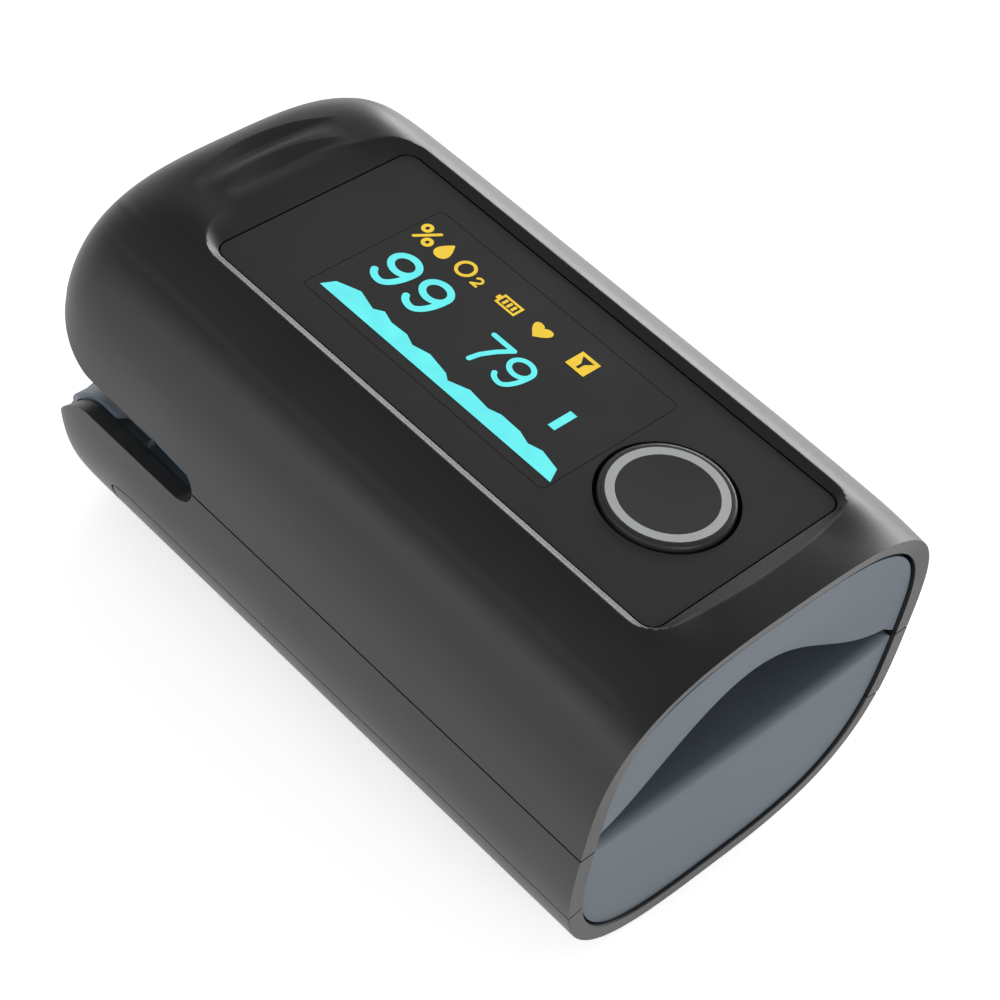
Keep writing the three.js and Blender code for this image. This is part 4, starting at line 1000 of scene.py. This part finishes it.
def display():
    yellow = []
    ring = 0.3
    for x, y in ((-11.25, 4.75), (-10.15, 3.7)):
        inner = arc((x, y), (0.46 - ring, 0.5 - ring), 0, 350, 28)
        yellow.append([arc((x, y), (0.46, 0.5), 0, 350, 28), inner])
    yellow.append(ribbon([(-11.25, 3.35), (-10.7, 4.22), (-10.15, 5.1)], 0.26))
    yellow.append(droplet(-8.7, LABEL_Y + 0.05, 1.9))
    letter = (-6.45, LABEL_Y)
    yellow.append([arc(letter, (0.82, 0.9), 0, 352, 36), arc(letter, (0.55, 0.63), 0, 352, 36)])
    two = arc((-4.95, 4.0), (0.28, 0.28), 160, -40, 12) + [(-5.2, 3.38)]
    yellow.append(ribbon(resampled(two, 20), 0.2))
    yellow.append(ribbon([(-5.22, 3.4), (-4.9, 3.4), (-4.6, 3.4)], 0.2, False))
    outline = [(-2.85, 3.5), (-0.9, 3.5), (-0.9, 4.65), (-2.85, 4.65)]
    inside = [(-2.66, 3.69), (-1.09, 3.69), (-1.09, 4.46), (-2.66, 4.46)]
    yellow.append([outline, inside])
    yellow.append([(-3.1, 3.85), (-2.85, 3.85), (-2.85, 4.3), (-3.1, 4.3)])
    for x in (-2.42, -1.98, -1.54):
        yellow.append([(x, 3.8), (x + 0.24, 3.8), (x + 0.24, 4.35), (x, 4.35)])
    yellow.append(heart(1.35, LABEL_Y, 1.75))
    square = [(4.57, 3.34), (6.35, 3.34), (6.35, 5.15), (4.57, 5.15)]
    funnel = [(5.33, 3.62), (5.59, 3.62), (5.59, 4.2), (6.02, 4.85), (4.9, 4.85), (5.33, 4.2)]
    yellow.append([square, funnel])
    graphic("display_labels", yellow, yellow_glow)
    cyan = nine(-9.2, -0.12, READING_HEIGHT, 0.56) + nine(-5.85, -0.12, READING_HEIGHT, 0.56)
    cyan += seven(0.72, -0.45, RATE_HEIGHT, 0.42) + nine(3.3, -0.4, RATE_HEIGHT, 0.42)
    cyan.append([(8.25, -1.95), (8.9, -1.95), (8.9, 0.26), (8.25, 0.26)])
    start, end, base = PULSE_BASE
    trace = [(start, base), (end, base)] + [(start + x, base + h) for x, h in PULSE_TRACE[::-1]]
    cyan.append(trace)
    graphic("display_readings", cyan, cyan_glow)
    centre, half = ((-12.1 + 12.4) / 2, 0.2), ((12.1 + 12.4) / 2, 6.75)
    border = rounded_outline(centre, half, 0.5)
    within = rounded_outline(centre, (half[0] - 0.06, half[1] - 0.06), 0.44)
    graphic("display_border", [[border, within]], display_black, height=0.008)


# ---------------------------------------------------------------- flat cable


def flat_cable():
    """The flat cable from the sensor board up to the main board, laid with one fixed bend."""
    low, high = corners("flex_cable")
    bottom = low.z + 0.1
    x = low.x + 0.1
    route = arc((x + 1, bottom + 1), (1, 1), 270, 180, 12)
    path = [(high.x, bottom)] + route + [(x, bottom + step) for step in np.linspace(1.5, high.z - bottom, 24)]
    rows = []
    for along, up in resampled(path, 60):
        rows.append([(along, y, up) for y in np.linspace(-2.5, 2.5, 9)])
    grid = np.array(rows)
    cable = piece("sensor_flat_cable", grid.reshape(-1, 3), sheet_faces(len(rows), 9))
    wall = cable.modifiers.new("layers", "SOLIDIFY")
    wall.thickness = 0.15 * MM
    wall.offset = 0
    settle(cable)
    cable.data.materials.append(film_amber)
    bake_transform(cable)
    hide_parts("flex_cable")


def hinge_springs():
    """Each torsion spring as a smooth-shaded copy of its imported wire; the imported part is hidden."""
    for node in ("torsion_spring_left", "torsion_spring_right"):
        wire = frame["nodes"][node].data.copy()
        spring = bpy.data.objects.new("bent_" + node, wire)
        bpy.context.scene.collection.objects.link(spring)
        smooth(spring)
        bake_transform(spring)
        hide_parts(node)


# ---------------------------------------------------------------- stage

def area_light(name, place_at, aim, size, power, colour=(1, 1, 1)):
    lamp = bpy.data.lights.new(name, "AREA")
    lamp.shape = "RECTANGLE"
    lamp.size, lamp.size_y = size
    lamp.energy = power
    lamp.color = colour
    obj = bpy.data.objects.new(name, lamp)
    obj.location = place_at
    obj.rotation_euler = (Vector(aim) - Vector(place_at)).to_track_quat("-Z", "Y").to_euler()
    bpy.context.scene.collection.objects.link(obj)


HORIZON_GLOW = (0.05, 0.5)  # height of the direction, from white to the dimmer sky above
ZENITH = 0.32
FLOOR_REACH = 1500  # half the floor's side, in millimetres
FLOOR_DROP = 0.00002  # the floor lies this far under the object, in metres


def studio():
    world = bpy.data.worlds.new("studio")
    world.use_nodes = True
    nodes, links = world.node_tree.nodes, world.node_tree.links
    direction = nodes.new("ShaderNodeTexCoord")
    parts = nodes.new("ShaderNodeSeparateXYZ")
    fade = nodes.new("ShaderNodeValToRGB")
    fade.color_ramp.elements[0].position = HORIZON_GLOW[0]
    fade.color_ramp.elements[0].color = (1, 1, 1, 1)
    fade.color_ramp.elements[1].position = HORIZON_GLOW[1]
    fade.color_ramp.elements[1].color = (ZENITH, ZENITH, ZENITH, 1)
    links.new(direction.outputs["Generated"], parts.inputs["Vector"])
    links.new(parts.outputs["Z"], fade.inputs["Fac"])
    links.new(fade.outputs["Color"], nodes["Background"].inputs["Color"])
    bpy.context.scene.world = world
    bpy.context.scene.view_settings.view_transform = "Standard"
    middle = (0, 0, 0.015)
    area_light("back_right_softbox", (-0.10, 0.42, 0.10), middle, (0.40, 0.16), 1.6)
    area_light("left_fill", (-0.05, -0.40, 0.12), middle, (0.40, 0.16), 0.35)
    area_light("mouth_fill", (0.40, -0.10, 0.16), middle, (0.20, 0.16), 0.55)
    size = 3
    reach = FLOOR_REACH
    floor_corners = [(-reach, -reach, 0), (reach, -reach, 0), (reach, reach, 0), (-reach, reach, 0)]
    floor = piece("floor", floor_corners, [(0, 1, 2, 3)])
    floor.location.z = -FLOOR_DROP
    pale = finish("pale_floor", (250, 250, 250), 0.8, tint=0.005, bump=0.0, mottle=size)
    glow = pale.node_tree.nodes["Principled BSDF"]
    glow.inputs["Emission Color"].default_value = (1, 1, 1, 1)
    glow.inputs["Emission Strength"].default_value = 0.6
    floor.data.materials.append(pale)


def camera():
    lens = bpy.data.cameras.new("camera")
    lens.lens = 95.1
    lens.clip_start = 0.01
    eye = bpy.data.objects.new("camera", lens)
    eye.location = (0.08466, -0.10456, 0.15573)
    eye.rotation_euler = Euler([math.radians(a) for a in (42.95, -8.337, 46.466)])
    bpy.context.scene.collection.objects.link(eye)
    bpy.context.scene.camera = eye


camera()
studio()
finish_packed_nodes()
upper_shell()
lower_covers()
window()
button()
upper_pad()
lower_pad()
lever_liners()
display()
flat_cable()
hinge_springs()
